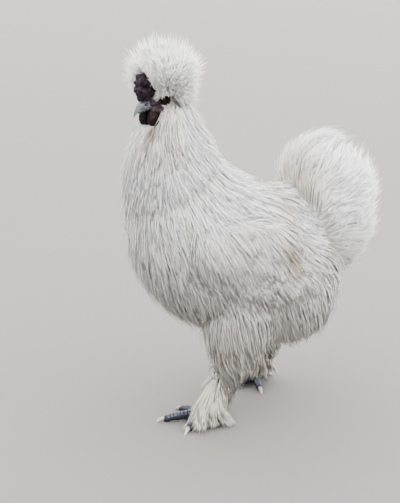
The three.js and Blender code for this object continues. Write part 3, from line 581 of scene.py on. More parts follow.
skinTones = {
    "body": (0.92, 0.9, 0.87),
    "hood": (0.84, 0.79, 0.69),
    "face": (0.021, 0.01, 0.014),
    "eyeRim": (0.014, 0.009, 0.012),
    "feet": (0.009, 0.011, 0.017),
}
barePatches = [((17.5, -7), (8, 8)), ((14, -1.2), (9, 4)), ((9, 0), (7.0, 6.0))]  # cheek, lore, round the eye
darkPatches = [((9, 0.2), (7.4, 4.9)), ((17, -0.6), (6, 1.5))]  # rim of the eye, line to the beak
browPatch = {"at": (21.5, 0, 13), "size": (14, 13, 17)}  # under the comb
flick = {"at": (2.6, 3), "size": (1.5, 3.4), "lean": 0.2}  # dark flick behind the eye


def patchFar(place, at, size, lean=0.0):  # squared distance seen from the side, 1 at the patch's edge
    x, z = place[..., 0], place[..., 2]
    return ((x - at[0] + lean * (z - at[1])) / size[0]) ** 2 + ((z - at[1]) / size[1]) ** 2


def skinColours(points):
    place = headPlace(points)
    near = ((np.abs(place[:, 0] - 8) < 24) & (np.abs(place[:, 2]) < 22) & (np.abs(place[:, 1]) < 22))[:, None]
    brow = np.linalg.norm(scaled(place, **browPatch), axis=1) ** 2
    bare = np.minimum.reduce([patchFar(place, *patch) for patch in barePatches] + [brow])[:, None]
    bare = mix(skinTones["hood"], skinTones["face"], clamped(2.2 - bare * 1.3) * near)
    colour = np.where(near, bare, np.array([skinTones["body"]]))
    dark = np.minimum.reduce([patchFar(place, *patch) for patch in darkPatches] + [patchFar(place, **flick)])
    colour = mix(colour, skinTones["eyeRim"], clamped(1.5 - dark * 1.4)[:, None] * near)
    return mix(colour, skinTones["feet"], clamped((58 - points[:, 2]) / 14)[:, None])


bodySkin = fused(bodyParts(), 3.0, 14)
headSkin = fused(headParts(), 0.55, 2)
footSkins = [fused(footParts(side), 0.9, 2) for side in ("left", "right")]
points, faces = joined([bodySkin, headSkin, *footSkins])
points[:, 2] = np.maximum(points[:, 2], 0.0)
place = headPlace(points)
face = clamped(1.5 - ((place[:, 0] - 14) / 12) ** 2 - ((place[:, 2] + 5) / 11) ** 2)
face *= (place[:, 0] > 2) & (np.abs(place[:, 1]) > 3)
picked = np.flatnonzero(face > 0)
fold = noiseAt(place[picked] * np.array([0.7, 1, 1.4]), 0.5) * 0.4  # wrinkles of the bare face
fold = fold + noiseAt(place[picked], 1.1, 5) * 0.22
way = unit(points[picked] - headPoint(6, 0, -3))
points[picked] += way * (fold * face[picked])[:, None]
fleshNodes = ["head", "neck", "breast", "torso", "thigh_left", "thigh_right", "foot_left", "foot_right"]
makeObject("skin", points, faces, skin, fleshNodes, [("skinColour", skinColours(points))])
print("skin", len(faces), "triangles")


# Coat: every strand is a thin three-sided lock on a middle line, with a pointed tip, rooted in the skin.
tones = {
    "tip": (0.9, 0.895, 0.88),
    # root: a little lighter than tip, painted light against the shade between strands
    "root": (0.93, 0.92, 0.895),
    # valley: painted shade, warm, for the hollow between saddle and tail
    "valley": (0.52, 0.44, 0.33),
    # low, lowFrom, lowOver: mostly painted shade of the low body, with a slight real stain; the coat turns
    # darker and warmer downwards
    "low": (0.62, 0.57, 0.505),
    "lowFrom": 195,
    "lowOver": 115,
    "spread": 0.022,
    "whitest": 0.93,
}
marks = [
    # a broad warm beige tone on the near side of the throat, below the head
    {"at": (-82, -24, 296), "size": (20, 18, 19), "colour": (0.5, 0.41, 0.3), "share": 0.55},
    {"at": (-86, -17, 302), "size": (6, 7, 10), "colour": (0.1, 0.065, 0.04), "share": 1.0},
    {"at": (-66, -35, 309), "size": (5, 7, 9), "colour": (0.3, 0.24, 0.17), "share": 0.85},
    {"at": (37, -83, 173), "size": (13, 16, 7), "colour": (0.3, 0.21, 0.11), "share": 0.95},
    {"at": (37, 83, 173), "size": (13, 16, 7), "colour": (0.3, 0.21, 0.11), "share": 0.95},
]
strand = {
    "steps": (0, 0.34, 0.68, 1.0),  # stations along a strand, and its width at all but the tip
    "shares": (0.6, 1.0, 0.72),
    "thick": 0.6,
    "down": 1.9,  # the down is this much broader than the locks over it
    "rooted": 0.8,
    "rise": 2.2,
    "patch": 0.003,
    "apart": 7.3,
    "barbs": 6,
}


def makeCoat(name, path, out, width, colour, patch, nodes=()):
    count, stations = path.shape[:2]
    way = unit(np.gradient(path, axis=1))
    side = unit(np.cross(way, np.broadcast_to(out[:, None], path.shape)))
    over = unit(np.cross(side, way))
    wide = (width[:, None] / 2 * np.array(strand["shares"])[None])[..., None]
    line, side, over = path[:, :-1], side[:, :-1], over[:, :-1]
    corners = np.stack([line + side * wide, line + over * wide * strand["thick"], line - side * wide], 2)
    points = np.concatenate([corners.reshape(count, -1, 3), path[:, -1:]], 1)
    each = 3 * (stations - 1) + 1
    shape = [(0, 2, 1)]
    for k in range(stations - 2):
        l, t, r = 3 * k, 3 * k + 1, 3 * k + 2
        for a, b in ((t, l), (r, t), (l, r)):
            shape += [(a, b, b + 3), (a, b + 3, a + 3)]
    l, t, r = 3 * stations - 6, 3 * stations - 5, 3 * stations - 4
    shape += [(t, l, each - 1), (r, t, each - 1), (l, r, each - 1)]
    faces = (np.array(shape)[None] + each * np.arange(count)[:, None, None]).reshape(-1, 3)
    s = np.linspace(0, 1, stations)
    along = np.append(np.repeat(s[:-1], 3), 1.0)
    across = np.append(np.tile([0, 0.5, 1.0], stations - 1), 0.5)
    tuft = np.stack([across, along], 1)[None] * strand["patch"] + patch[:, None]
    apart = strand["apart"] * np.arange(count)[:, None]
    barbs = np.stack(np.broadcast_arrays(across[None] + apart, strand["barbs"] * along[None]), -1)
    shades = np.concatenate([np.repeat(colour[:, :-1], 3, axis=1), colour[:, -1:]], 1)
    normals = np.repeat(out[:, None], each, axis=1)
    makeObject(name, points.reshape(-1, 3), faces, plumage, nodes,
               [("coatColour", shades.reshape(-1, 3)), ("coatNormal", normals.reshape(-1, 3) * 0.5 + 0.5)],
               [("OFBake", tuft.reshape(-1, 2)), ("strand", barbs.reshape(-1, 2))])
    print(name, count, "strands", len(faces), "triangles")


def shadeOf(random, path, own, tip=tones["tip"], root=tones["root"]):
    count, stations = path.shape[:2]
    s = np.linspace(0, 1, stations)[None, :, None] ** 0.6
    colour = mix(root, tip, s) * np.ones((count, 1, 1))
    lock = random.standard_normal(own.max() + 1)[own]
    colour *= 1 + tones["spread"] * (random.standard_normal((count, 1, 1)) + 0.7 * lock[:, None, None])
    # mostly painted shade, with a slight stain: the coat darkens and warms towards the bottom
    low = clamped((tones["lowFrom"] - path[..., 2]) / tones["lowOver"])[..., None]
    lowShade = mix(np.ones(3), np.array(tones["low"]) / tones["tip"][0], low)
    colour = np.clip(colour * lowShade, 0, tones["whitest"])
    for mark in marks:
        near = np.exp(-(scaled(path, mark["at"], mark["size"]) ** 2).sum(-1) ** 2)
        near = mix(near, near.max(1, keepdims=True), 0.9)  # a whole strand takes the mark that its tip is in
        share = mark["share"] * near * random.uniform(0.75, 1, (count, 1))
        colour = mix(colour, mark["colour"], share[..., None])
    return colour


def surfaceOf(points, faces):
    flat = np.cross(points[faces[:, 1]] - points[faces[:, 0]], points[faces[:, 2]] - points[faces[:, 0]])
    normals = np.zeros_like(points)
    for k in range(3):
        np.add.at(normals, faces[:, k], flat)
    normals = unit(normals)
    return {"points": points, "faces": faces, "normals": normals, "smooth": unit(normals[faces].sum(1)),
            "area": np.linalg.norm(flat, axis=1), "middle": points[faces].mean(1),
            "tree": BVHTree.FromPolygons(points.tolist(), faces.tolist())}


def seeded(random, surface, count, share):  # roots spread over a surface, as thick as share says at each face
    weight = surface["area"] * share
    picked = random.choice(len(weight), count, p=weight / weight.sum())
    a, b = random.uniform(0, 1, (2, count))
    a, b = np.where(a + b > 1, 1 - a, a), np.where(a + b > 1, 1 - b, b)
    part = np.stack([1 - a - b, a, b], 1)[..., None]
    corners = surface["faces"][picked]
    return (surface["points"][corners] * part).sum(1), unit((surface["normals"][corners] * part).sum(1))


def combed(surface, root, normal, lie, length, lift, loose=0.0):
    # follows the skin as it rises, and leaves it where loose
    ground, up, path = root, normal, [root - strand["rooted"] * normal]
    for last, s in zip(strand["steps"], strand["steps"][1:]):
        way = lie(ground, up)
        way = unit(way - up * (way * up).sum(1, keepdims=True))
        ahead = ground + way * (length * (s - last))[:, None]
        found = [surface["tree"].find_nearest(p) for p in ahead.tolist()]
        ground = mix(np.array([f[0] for f in found]), ahead, np.broadcast_to(loose, len(ahead))[:, None])
        up = surface["smooth"][[f[2] for f in found]]
        path.append(ground + up * (lift * (1 - (1 - s) ** strand["rise"]))[:, None])
    return np.stack(path, 1), up


def gathered(random, path, every, pull, hold=1.0):  # strands draw together towards their tips into locks
    leaders = random.permutation(len(path))[:max(len(path) // every, 1)]
    tree = KDTree(len(leaders))
    for k, leader in enumerate(leaders):
        tree.insert(path[leader, 1], k)
    tree.balance()
    own = np.array([tree.find(p)[1] for p in path[:, 1].tolist()])
    share = (np.linspace(0, 1, path.shape[1]) ** 1.5)[None] * pull * np.broadcast_to(hold, len(path))[:, None]
    return mix(path, path[leaders][own], share[..., None]), own


def wander(p, scale):
    return np.stack([noiseAt(p, scale, seed) for seed in (0, 31, 67)], 1)


# Body: neck, breast, saddle and thighs share one lie, which sweeps round the pivot and hangs down
skinFields = {"neck": 213, "breast": 243, "drop": 0.95, "legDrop": 2.4, "lowDrop": 1.3, "wander": 0.4}


def valleyOf(p):
    angle, across = bodyPlace(p[:, 0], p[:, 2])
    return valleyAt(angle, np.degrees(np.arccos(np.clip(across, -1, 1))))


def legShare(p):
    share = np.zeros(len(p))
    for side in ("left", "right"):
        path = thighs[side][::-1]
        x, y, r = (curve([(row[2], row[k]) for row in path], p[:, 2]) for k in (0, 1, 3))
        near = clamped((r - 3 - np.hypot(p[:, 0] - x, (p[:, 1] - y) / thighs["flat"])) / 6)
        share = np.maximum(share, near * clamped((128 - p[:, 2]) / 16))
    return share


def lieOnBody(p, up):
    sweep = unit(np.stack([body["pivot"][1] - p[:, 2], 0 * p[:, 0], p[:, 0] - body["pivot"][0]], 1))
    low = clamped((185 - p[:, 2]) / 60)
    drop = skinFields["drop"] + skinFields["legDrop"] * legShare(p) + skinFields["lowDrop"] * low
    drop = np.where(angleOf(p) < 200, 1.5, drop)
    return sweep + drop[:, None] * np.array([0, 0, -1]) + skinFields["wander"] * wander(p, 0.03)


def inRoom(points, at, size):
    return (scaled(headPlace(points), at, size) ** 2).sum(-1) < 1


wattleRoom = {"at": (21, 0, -14.5), "size": (11.5, 13.5, 11)}


def offWattles(path):
    return ~np.any([inRoom(path[:, k], **wattleRoom) for k in (-1, -2, -3)], axis=0)


ground = surfaceOf(*bodySkin)
faceAngle = angleOf(ground["middle"])
onLeg = legShare(ground["middle"]) > 0.5
fromTail = scaled(ground["middle"], tail["centre"], tail["size"])
onTail = (np.linalg.norm(fromTail, axis=1) < tail["skin"] + 0.06) & (ground["middle"][:, 0] > 78)
onNeck = faceAngle < skinFields["neck"]
onFront = faceAngle < skinFields["breast"]
onLeft = ground["middle"][:, 1] < 3
bodyCoat = [
    {"name": "neckHackle", "where": onNeck & ~onLeg, "count": 10500, "length": (20, 34),
     "width": 0.95, "pull": 0.2, "seed": 11},
    {"name": "breastPlumage", "where": ~onNeck & onFront & ~onLeg,
     "count": 10500, "length": (26, 42), "width": 1.1, "pull": 0.28, "seed": 23},
    {"name": "saddlePlumage", "where": ~onFront & ~onLeg & ~onTail, "count": 10700,
     "length": (26, 44), "width": 1.2, "pull": 0.34, "seed": 29},
    {"name": "thighPlumage_left", "where": onLeg & onLeft, "count": 4500,
     "length": (24, 42), "width": 1.2, "pull": 0.34, "seed": 31},
    {"name": "thighPlumage_right", "where": onLeg & ~onLeft, "count": 4500,
     "length": (24, 42), "width": 1.2, "pull": 0.34, "seed": 37},
]
locks = {"down": 0.5, "astray": 0.9, "broad": (150, 0.22), "fine": 11, "sag": 10, "stray": 1.5, "floor": 4}
throatHollow = {"at": (16, 0, -18), "size": (15, 14, 13), "level": 0.7, "length": 0.5}
for coat in bodyCoat:
    random = np.random.default_rng(coat["seed"])
    root, normal = seeded(random, ground, coat["count"], coat["where"].astype(float))
    deep = np.interp(angleOf(root), body["depthAt"], body["coatDepth"])
    kind = random.uniform(0, 1, coat["count"])  # down below, locks over it, and a few strands astray
    down, astray = kind < locks["down"], kind > locks["astray"]
    level = random.uniform(0.35, 0.85, coat["count"])
    level = np.where(down, level, random.uniform(0.8, 1.05, coat["count"]))
    level = np.where(astray, level + random.uniform(0.05, 0.6, coat["count"]), level)
    hold = np.where(down, 0.15, np.where(astray, 0.0, 1.0))
    length = random.uniform(*coat["length"], coat["count"])
    length *= mix(1.0, 0.5, clamped((root[:, 0] - 55) / 25) * clamped((root[:, 2] - 165) / 20))
    valley = valleyOf(root)
    level *= 1 - 0.45 * valley
    length *= 1 - 0.3 * valley
    fromThroat = scaled(headPlace(root), throatHollow["at"], throatHollow["size"])
    throat = clamped(1.4 - np.linalg.norm(fromThroat, axis=1))
    level *= 1 - throatHollow["level"] * throat
    length *= 1 - throatHollow["length"] * throat
    loose = 0.75 * clamped((96 - root[:, 2]) / 24) * legShare(root)
    path, up = combed(ground, root, normal, lieOnBody, length, deep * level, loose)
    path, own = gathered(random, path, *locks["broad"], hold)
    path, own = gathered(random, path, locks["fine"], coat["pull"], hold)
    sag = locks["sag"] * clamped(-up[:, 2] - 0.1)
    path[..., 2] -= sag[:, None] * np.array([0, 0.1, 0.45, 1.0])
    path[:, -1] += random.normal(0, locks["stray"], (coat["count"], 3))
    path[..., 2] = np.maximum(path[..., 2], locks["floor"])
    free = offWattles(path)
    root, path, up, own = root[free], path[free], up[free], own[free]
    colour = shadeOf(random, path, own)
    # painted shade: strands in the hollow between saddle and tail take the warm valley tone
    valley = valleyOf(path.reshape(-1, 3)).reshape(path.shape[:2])[..., None]
    colour = mix(colour, tones["valley"], 0.85 * valley * (4 * (1 - valley)) ** 0.5)
    low, high = root.min(0), root.max(0)
    spot = (root - low) / (high - low)
    aside = np.where(root[:, 1] < 0, 0.49 * spot[:, 0], 1 - 0.49 * spot[:, 0])
    patch = 0.01 + 0.97 * np.stack([aside, spot[:, 2]], 1)
    width = coat["width"] * random.uniform(0.7, 1.3, len(root)) * np.where(down[free], strand["down"], 1.0)
    fall = 0.3 * clamped((170 - root[:, 2:]) / 80) * np.array([[0, 0, -1]])
    makeCoat(coat["name"], path, unit(up + fall), width, colour, patch)


# Wings: three rows of shredded feathers, each standing over the next, down to the loose lower edge
# tip and root are darker and warmer than the body coat: painted shade on the wing; the roots are lighter than
# the tips: painted light against the shade between strands
wingCoat = {"count": 4600, "span": (-66, 50), "steep": (74, 46), "length": (26, 40), "lift": (11.5, 16.5),
            "width": 1.05, "down": 0.4, "broad": (90, 0.28), "fine": (13, 0.5), "stray": 1.2,
            "tip": (0.82, 0.79, 0.75), "root": (0.86, 0.83, 0.79), "seed": 61}


def wingShare(x, z):  # 0 at the wing's lower edge and 1 at its top
    low = curve(wing["low"], x)
    return (z - low) / (curve(wing["top"], x) - low)


def coatWing(side, sign):
    coat, count = wingCoat, wingCoat["count"]
    random = np.random.default_rng(coat["seed"] + sign)
    x, y, z = ground["middle"].T
    h = wingShare(x, z)
    share = (y * -sign > 30) & (x > coat["span"][0]) & (x < coat["span"][1]) & (h > 0.12) & (h < 1.0)
    root, normal = seeded(random, ground, count, share.astype(float))
    x, y, z = root.T
    t = (x - coat["span"][0]) / (coat["span"][1] - coat["span"][0])
    h = wingShare(x, z)
    steep = np.radians(mix(*coat["steep"], t) + random.normal(0, 5, count))
    flow = np.stack([np.cos(steep), 0 * x, -np.sin(steep)], 1) + 0.25 * wander(root, 0.04)
    length = random.uniform(*coat["length"], count) * mix(0.8, 1.15, t)
    row = np.floor(3 * np.clip(h + random.uniform(-0.08, 0.08, count), 0, 0.99)) / 2
    down = random.uniform(0, 1, count) < coat["down"]
    merge = clamped(np.minimum(t / 0.6, (1.1 - h) / 0.5))
    flow = unit(mix(unit(lieOnBody(root, normal)), flow, (merge ** 0.7)[:, None]))
    lift = mix(9.5, mix(coat["lift"][1], coat["lift"][0], row), merge)
    lift = np.where(down, lift - random.uniform(3, 6, count), lift + random.uniform(-1.2, 1, count))
    loose = np.where(down, 0.2, 0.55 * merge)
    path, up = combed(ground, root, normal, lambda p, up: flow, length, lift, loose)
    hold = np.where(down, 0.2, 1.0)
    path, own = gathered(random, path, *coat["broad"], hold)
    path, own = gathered(random, path, *coat["fine"], hold)
    path[:, -1] += random.normal(0, coat["stray"], (count, 3))
    colour = shadeOf(random, path, own, coat["tip"], coat["root"])
    patch = np.stack([0.03 + 0.92 * clamped(t), 0.03 + 0.92 * clamped(h)], 1)
    width = coat["width"] * random.uniform(0.7, 1.3, count) * np.where(down, strand["down"], 1.0)
    makeCoat("wingPlumage_" + side, path, up, width, colour, patch, ["wing_" + side])


for side, sign in (("left", 1), ("right", -1)):
    coatWing(side, sign)


# Crest and tail: strands rise side by side from a core and bend away until they lie along the ball
def spiral(count, random):
    z = 1 - 2 * (np.arange(count) + 0.5) / count
    a = np.arange(count) * math.pi * (3 - math.sqrt(5)) + 0.3 * (random.uniform(0, 1, count) - 0.5)
    flat = np.sqrt(1 - z * z)
    return np.stack([flat * np.cos(a), flat * np.sin(a), z], 1)


def turned(d, axis, angle):  # directions turned about their own axes
    c, s = np.cos(angle)[:, None], np.sin(angle)[:, None]
    return d * c + np.cross(axis, d) * s + axis * ((axis * d).sum(1)[:, None] * (1 - c))


def puffed(random, coat, place, keep):
    axis = unit(np.array(coat["way"], float))
    tip = unit(spiral(coat["count"], random) + random.normal(0, coat["mess"], (coat["count"], 3)))
    kind = random.uniform(0, 1, len(tip))
    under = kind < coat["under"]
    inside = random.uniform(coat["inner"], 0.93, len(tip))
    reach = np.where(under, inside, 1 + random.normal(0, coat["ragged"], len(tip)))
    hold = np.where(under, 0.15, 1.0)
    axis = unit(axis + coat["stir"] * wander(tip, 1.6))
    hinge = unit(np.cross(tip, axis))
    lean = np.arccos(np.clip((tip * axis).sum(1), -1, 1)) * coat["lean"]
    path = []
    for s in coat["steps"]:
        way = turned(tip, hinge, lean * (1 - s))
        path.append(place(way, mix(coat["core"], reach, 1 - (1 - s) ** coat["arch"])[:, None]))
    path = np.stack(path, 1)
    kept = keep(path)
    path, tip, hold = path[kept], tip[kept], hold[kept]
    path, own = gathered(random, path, coat["every"][0], coat["pull"][0], hold)
    path, own = gathered(random, path, coat["every"][1], coat["pull"][1], hold)
    path[:, -1] += random.normal(0, coat["stray"], (len(path), 3))
    return tip, path, own, np.where(under[kept], strand["down"], 1.0)


def frayed(random, path, d, share, far, broad):  # fine hairs past the ball, mostly on top
    picked = (broad == 1) * (random.uniform(0, 1, len(d)) < share)
    out = picked * random.uniform(0.1, 1, len(d)) * far * np.clip(d[:, 2] + 0.6, 0.25, 1)
    path[:, -1] += d * out[:, None]
    path[:, -2] += d * out[:, None] * 0.4
    return path


def onBall(d):
    turn = np.arctan2(d[:, 1], d[:, 0]) / (2 * math.pi)
    return np.stack([0.5 + turn * 0.96, 0.02 + 0.95 * (d[:, 2] + 1) / 2], 1)


def makeHalves(node, d, path, out, width, colour):
    for side, half in (("left", d[:, 1] < 0), ("right", d[:, 1] >= 0)):
        name = node + "Plumage_" + side
        makeCoat(name, path[half], out[half], width[half], colour[half], onBall(d[half]), [node])


faceRoom = {"at": (33, 0, 6), "size": (22, 15.5, 27)}
browRoom = {"at": (16, 0, -14), "size": (23.5, 40, 20)}
eyeRoom = {"at": (11, 0, -0.5), "size": (8.5, 60, 6)}


def crestPlace(way, far):
    flat = way * np.where(way[..., 2:] > 0, np.array([[1, 1, crest["flat"]]]), np.ones((1, 3)))
    return mix(np.array(crest["root"]), np.array(crest["centre"]), far) + flat * crest["radius"] * far


def crestKeep(path, rooms=(faceRoom, browRoom, eyeRoom)):
    clear = np.ones(len(path), bool)
    for k in (-1, -2, -3):
        for room in rooms:
            clear &= ~inRoom(path[:, k], **room)
    return clear


random = np.random.default_rng(crest["seed"])
d, path, own, broad = puffed(random, crest, crestPlace, crestKeep)
behind = clamped(0.4 - d @ headAxes[0])
hang = 24 * clamped(-d[:, 2] - 0.05) * behind * random.uniform(0.6, 1.2, len(d))
path[..., 2] -= hang[:, None] * np.array([0, 0.1, 0.5, 1.0])
path[..., 0] += 0.35 * hang[:, None] * np.array([0, 0.1, 0.5, 1.0]) * np.sign(d[:, :1])
kept = crestKeep(path)
d, path, own, broad = d[kept], path[kept], own[kept], broad[kept]
path = frayed(random, path, d, *crest["frayed"], broad)
kept = crestKeep(path, (faceRoom, eyeRoom))
d, path, own, broad = d[kept], path[kept], own[kept], broad[kept]
colour = shadeOf(random, path, own, crest["tipTone"], crest["rootTone"])
width = crest["width"] * random.uniform(0.7, 1.3, len(d)) * broad
makeHalves("crest", d, path, unit(d + np.array([0, 0, 0.55])), width, colour)


def inBody(p, margin):
    r = pivotFar(p[:, 0], p[:, 2])
    angle = angleOf(p)
    return ((angle < 288) & (r > curve(body["back"], angle) - 1 + margin)
            & (np.abs(p[:, 1]) < curve(body["half"], angle) - margin))


def tailKeep(path):
    return ~inBody(path[:, -1], 7) & ~inBody(path[:, -2], 12)


random = np.random.default_rng(tail["seed"])
d, path, own, broad = puffed(random, tail, tailPlace, tailKeep)
curl = random.uniform(0, 1, (own.max() + 1, 1))[own] * clamped(d[:, 2:] + 0.7)
path[:, -2] += curl * (3.0 * d + np.array([[0, 0, 1.5]]))
path[:, -1] += curl * (4.0 * d + np.array([[3.5, 0, -3.5]]))
path = frayed(random, path, d, *tail["frayed"], broad)
colour = shadeOf(random, path, own)
# painted shade: tail strands next to the saddle take the warm valley tone of the hollow
valley = np.exp(-((path[:, -1, 0] - 66) / 22) ** 2) * clamped((path[:, -1, 2] - 120) / 40)
colour = mix(colour, tones["valley"], (0.85 * valley)[:, None, None])
width = tail["width"] * random.uniform(0.7, 1.3, len(d)) * broad
makeHalves("tail", d, path, d, width, colour)


# Shanks and feet: locks fall round the shank, and splay over the outer toes and the floor behind them
# root is much darker and warmer than tip: painted shade deep among the locks round the shank
footCoat = {"count": 3300, "locks": 40, "reach": 40, "width": 1.15, "splayed": 0.6, "fine": (18, 0.72),
            "stray": 1.2, "tip": (0.85, 0.83, 0.79), "root": (0.7, 0.66, 0.6), "seed": 71}


def coatFoot(side):
    leg, coat, count = legs[side], footCoat, footCoat["count"]
    random = np.random.default_rng(coat["seed"] + leg["inward"])
    hock = np.array(thighs[side][-1][:3], float) + np.array([2, 0, 16])
    sole = np.array([*leg["foot"], feet["ankle"] - 5], float)
    fan = random.uniform(0, 1, count) < coat["splayed"]
    lock = random.integers(0, coat["locks"], count)
    drawn = random.uniform(-1, 1, (coat["locks"], 3))[lock]
    h = clamped(random.uniform(0, 1, count) * (0.75 + 0.25 * drawn[:, 2]))
    turn = np.where(fan, mix(*leg["fan"], (lock + 0.5 + 0.7 * drawn[:, 0]) / coat["locks"]),
                    leg["heading"] + 180 + random.uniform(-1, 1, count) ** 3 * 180)
    turn += random.normal(0, 5, count)
    way = np.stack([np.cos(np.radians(turn)), np.sin(np.radians(turn)), 0 * turn], 1)
    root = mix(sole[None], hock[None], np.where(fan, h * 0.9, h ** 0.7)[:, None]) + way * 4
    reach = coat["reach"] * mix(1.0, 0.5, h) * (0.8 + 0.2 * drawn[:, 1] + random.normal(0, 0.07, count))
    tip = np.array([*leg["foot"], 0.0]) + way * reach[:, None]
    tip[:, 2] = mix(1.2, 12, h ** 1.3) + random.uniform(0, 2.5, count)
    hang = root + way * random.uniform(6, 16, count)[:, None]
    hang[:, 2] = np.maximum(root[:, 2] - random.uniform(15, 28, count), 2.5 + random.uniform(0, 6, count))
    tip = np.where(fan[:, None], tip, hang)
    knee = mix(root, tip, 0.5) + way * 4
    knee[:, 2] = mix(tip[:, 2], root[:, 2], 0.7) + 3
    path = [root * (1 - s) ** 2 + knee * 2 * s * (1 - s) + tip * s * s for s in strand["steps"]]
    path, own = gathered(random, np.stack(path, 1), *coat["fine"])
    path[:, -1] += random.normal(0, coat["stray"], (count, 3))
    path[..., 2] = np.maximum(path[..., 2], 0.8)
    colour = shadeOf(random, path, own, coat["tip"], coat["root"])
    out = unit(way * 0.6 + np.array([0, 0, 0.8]))
    patch = np.stack([0.03 + 0.94 * ((turn % 360) / 360), 0.05 + 0.9 * h], 1)
    makeCoat("footPlumage_" + side, path, out, coat["width"] * random.uniform(0.7, 1.3, count), colour, patch,
             ["shank_" + side])


for side in ("left", "right"):
    coatFoot(side)


# Hood: short feathering close round the eye and cheeks, longer behind them and on the throat
# the cream is the feathers' own; the root, a little darker than the tip, is painted shade among the strands
hood = {"count": 6400, "width": 0.6, "fine": (12, 0.3), "stray": 0.3, "tip": (0.88, 0.85, 0.77),
        "root": (0.86, 0.82, 0.73), "seed": 83}
headGround = surfaceOf(*headSkin)


def hoodShare(place):
    x, y, z = place.T
    side = np.abs(y)
    eyeGap = np.hypot((x - eye["at"][0]) / 6.4, (z - eye["at"][2]) / 4.2)
    eyeGap = np.minimum(eyeGap, np.hypot((x - 2.6 + 0.2 * (z - 3)) / 1.1, (z - 3) / 3.2))
    lore = (x > 9) & (np.abs(z + 0.6 + (x - 9) * 0.1) < 1.6)
    cheek = ((x - 18.5) / 6.2) ** 2 + ((z + 6.6) / 6.4) ** 2 < 1
    comb = ((x - 21.5) / 10) ** 2 + (y / 9.5) ** 2 + ((z - 14) / 12.5) ** 2 < 1
    knob = np.linalg.norm(headPoint(x, y, z) - np.array(crest["down"]), axis=1) < crest["skin"] + 0.8
    return ((side < 3) | ((eyeGap > 1) & ~lore & ~cheek)) & ~comb & (x < 19.5) & ~(knob & (z > 8))


def lieOnHead(p, up):
    x, y, z = headPlace(p).T
    high = np.clip((z - 1) / 7, -1, 1)
    high = np.where(x < -6, -1.6, high)
    lie = np.stack([-0.75 + 0 * x, 0.2 * np.sign(y), np.where(high > 0, 1.0, 0.55) * high], 1)
    return lie @ headAxes + 0.22 * wander(p, 0.09)


def coatHead():
    random = np.random.default_rng(hood["seed"])
    count = hood["count"]
    middle = headPlace(headGround["middle"])
    share = hoodShare(middle) * mix(1.8, 0.7, clamped((3 - middle[:, 0]) / 20))
    share *= 1 + 1.2 * (middle[:, 2] > 3) * (middle[:, 0] > 0)
    share *= 1 + 2.5 * (np.abs(middle[:, 0] + 4) < 8) * (np.abs(middle[:, 2] + 3) < 9)
    root, normal = seeded(random, headGround, count, share)
    behind = clamped((15 - headPlace(root)[:, 0]) / 20)
    nape = clamped((4 - headPlace(root)[:, 0]) / 10)
    brow = clamped((headPlace(root)[:, 2] - 4) / 4)
    length = (mix(4.6, 17, behind) + 14 * nape + 5 * brow) * random.uniform(0.75, 1.25, count)
    lift = (mix(0.8, 6.5, behind ** 1.2) + 5 * nape + 1.0 * brow) * random.uniform(0.2, 1.1, count)
    path, up = combed(headGround, root, normal, lieOnHead, length, lift)
    path, own = gathered(random, path, *hood["fine"])
    path[:, -1] += random.normal(0, hood["stray"], (count, 3))
    lid = np.stack([headPlace(path[:, k]) for k in (-1, -2, -3)], 1)
    over = np.hypot((lid[..., 0] - eye["at"][0]) / 6.2, (lid[..., 2] - eye["at"][2]) / 4.1) < 1
    over |= np.hypot((lid[..., 0] - 19) / 6, (lid[..., 2] + 6.5) / 6) < 1
    kept = ~(over & (np.abs(lid[..., 1]) > 6)).any(1) & offWattles(path)
    root, path, up, own, behind = root[kept], path[kept], up[kept], own[kept], behind[kept]
    colour = shadeOf(random, path, own, hood["tip"], hood["root"])
    width = hood["width"] * random.uniform(0.7, 1.3, len(root)) * mix(0.8, 1.6, behind)
    out = unit(up + np.array([0, 0, 0.4]))
    makeCoat("hoodPlumage", path, out, width, colour, onBall(unit(headPlace(root))))


coatHead()
print("coat made")


# Comb, wattles, beak and eyes
comb = {"at": (21.5, 0, 14), "size": (10.5, 10, 14), "lean": 12}


def makeComb():
    way, faces = directions(110, 76)
    x, y, z = way.T
    groove = 0.24 * np.exp(-(((z - 0.05 - 0.05 * np.sin(5 * y)) / 0.13) ** 2)) * np.clip(x + 0.6, 0.2, 1)
    lobes = 0.1 * np.sin(5 * np.arctan2(y, x) + 3 * z) * np.cos(4 * z)
    knobs = noiseAt(way, 2.6, 3) * 0.16 + noiseAt(way, 5.2, 7) * 0.09
    cells = np.array([noise.voronoi(Vector(w) * 3.4)[0][0] for w in way])
    warts = clamped(0.55 - cells) * 0.26 * np.clip(z + 0.9, 0.3, 1)
    k = 1 - groove + lobes * 0.8 + knobs + warts - 0.06
    forward = comb["size"][0] * k * x
    up = comb["size"][2] * k * z
    lean = math.radians(comb["lean"])
    points = headPoint(comb["at"][0] + forward * math.cos(lean) - up * math.sin(lean),
                       comb["at"][1] + comb["size"][1] * k * y,
                       comb["at"][2] + forward * math.sin(lean) + up * math.cos(lean))
    # ridge, stored as the crest attribute: painted shade in the groove and painted highlight on the lobes
    ridge = clamped(0.5 + (k - 1) * 2.4)
    material = fleshMaterial("walnutComb", (0.0035, 0.0018, 0.0032), (0.022, 0.011, 0.019), 0.62, 420, 0.8)
    makeObject("combFlesh", points, faces, material, ["comb"], [("crest", ridge)])


makeComb()
wattle = {"at": (20.5, 6, -14.5), "size": (6.4, 4.9, 8.6)}


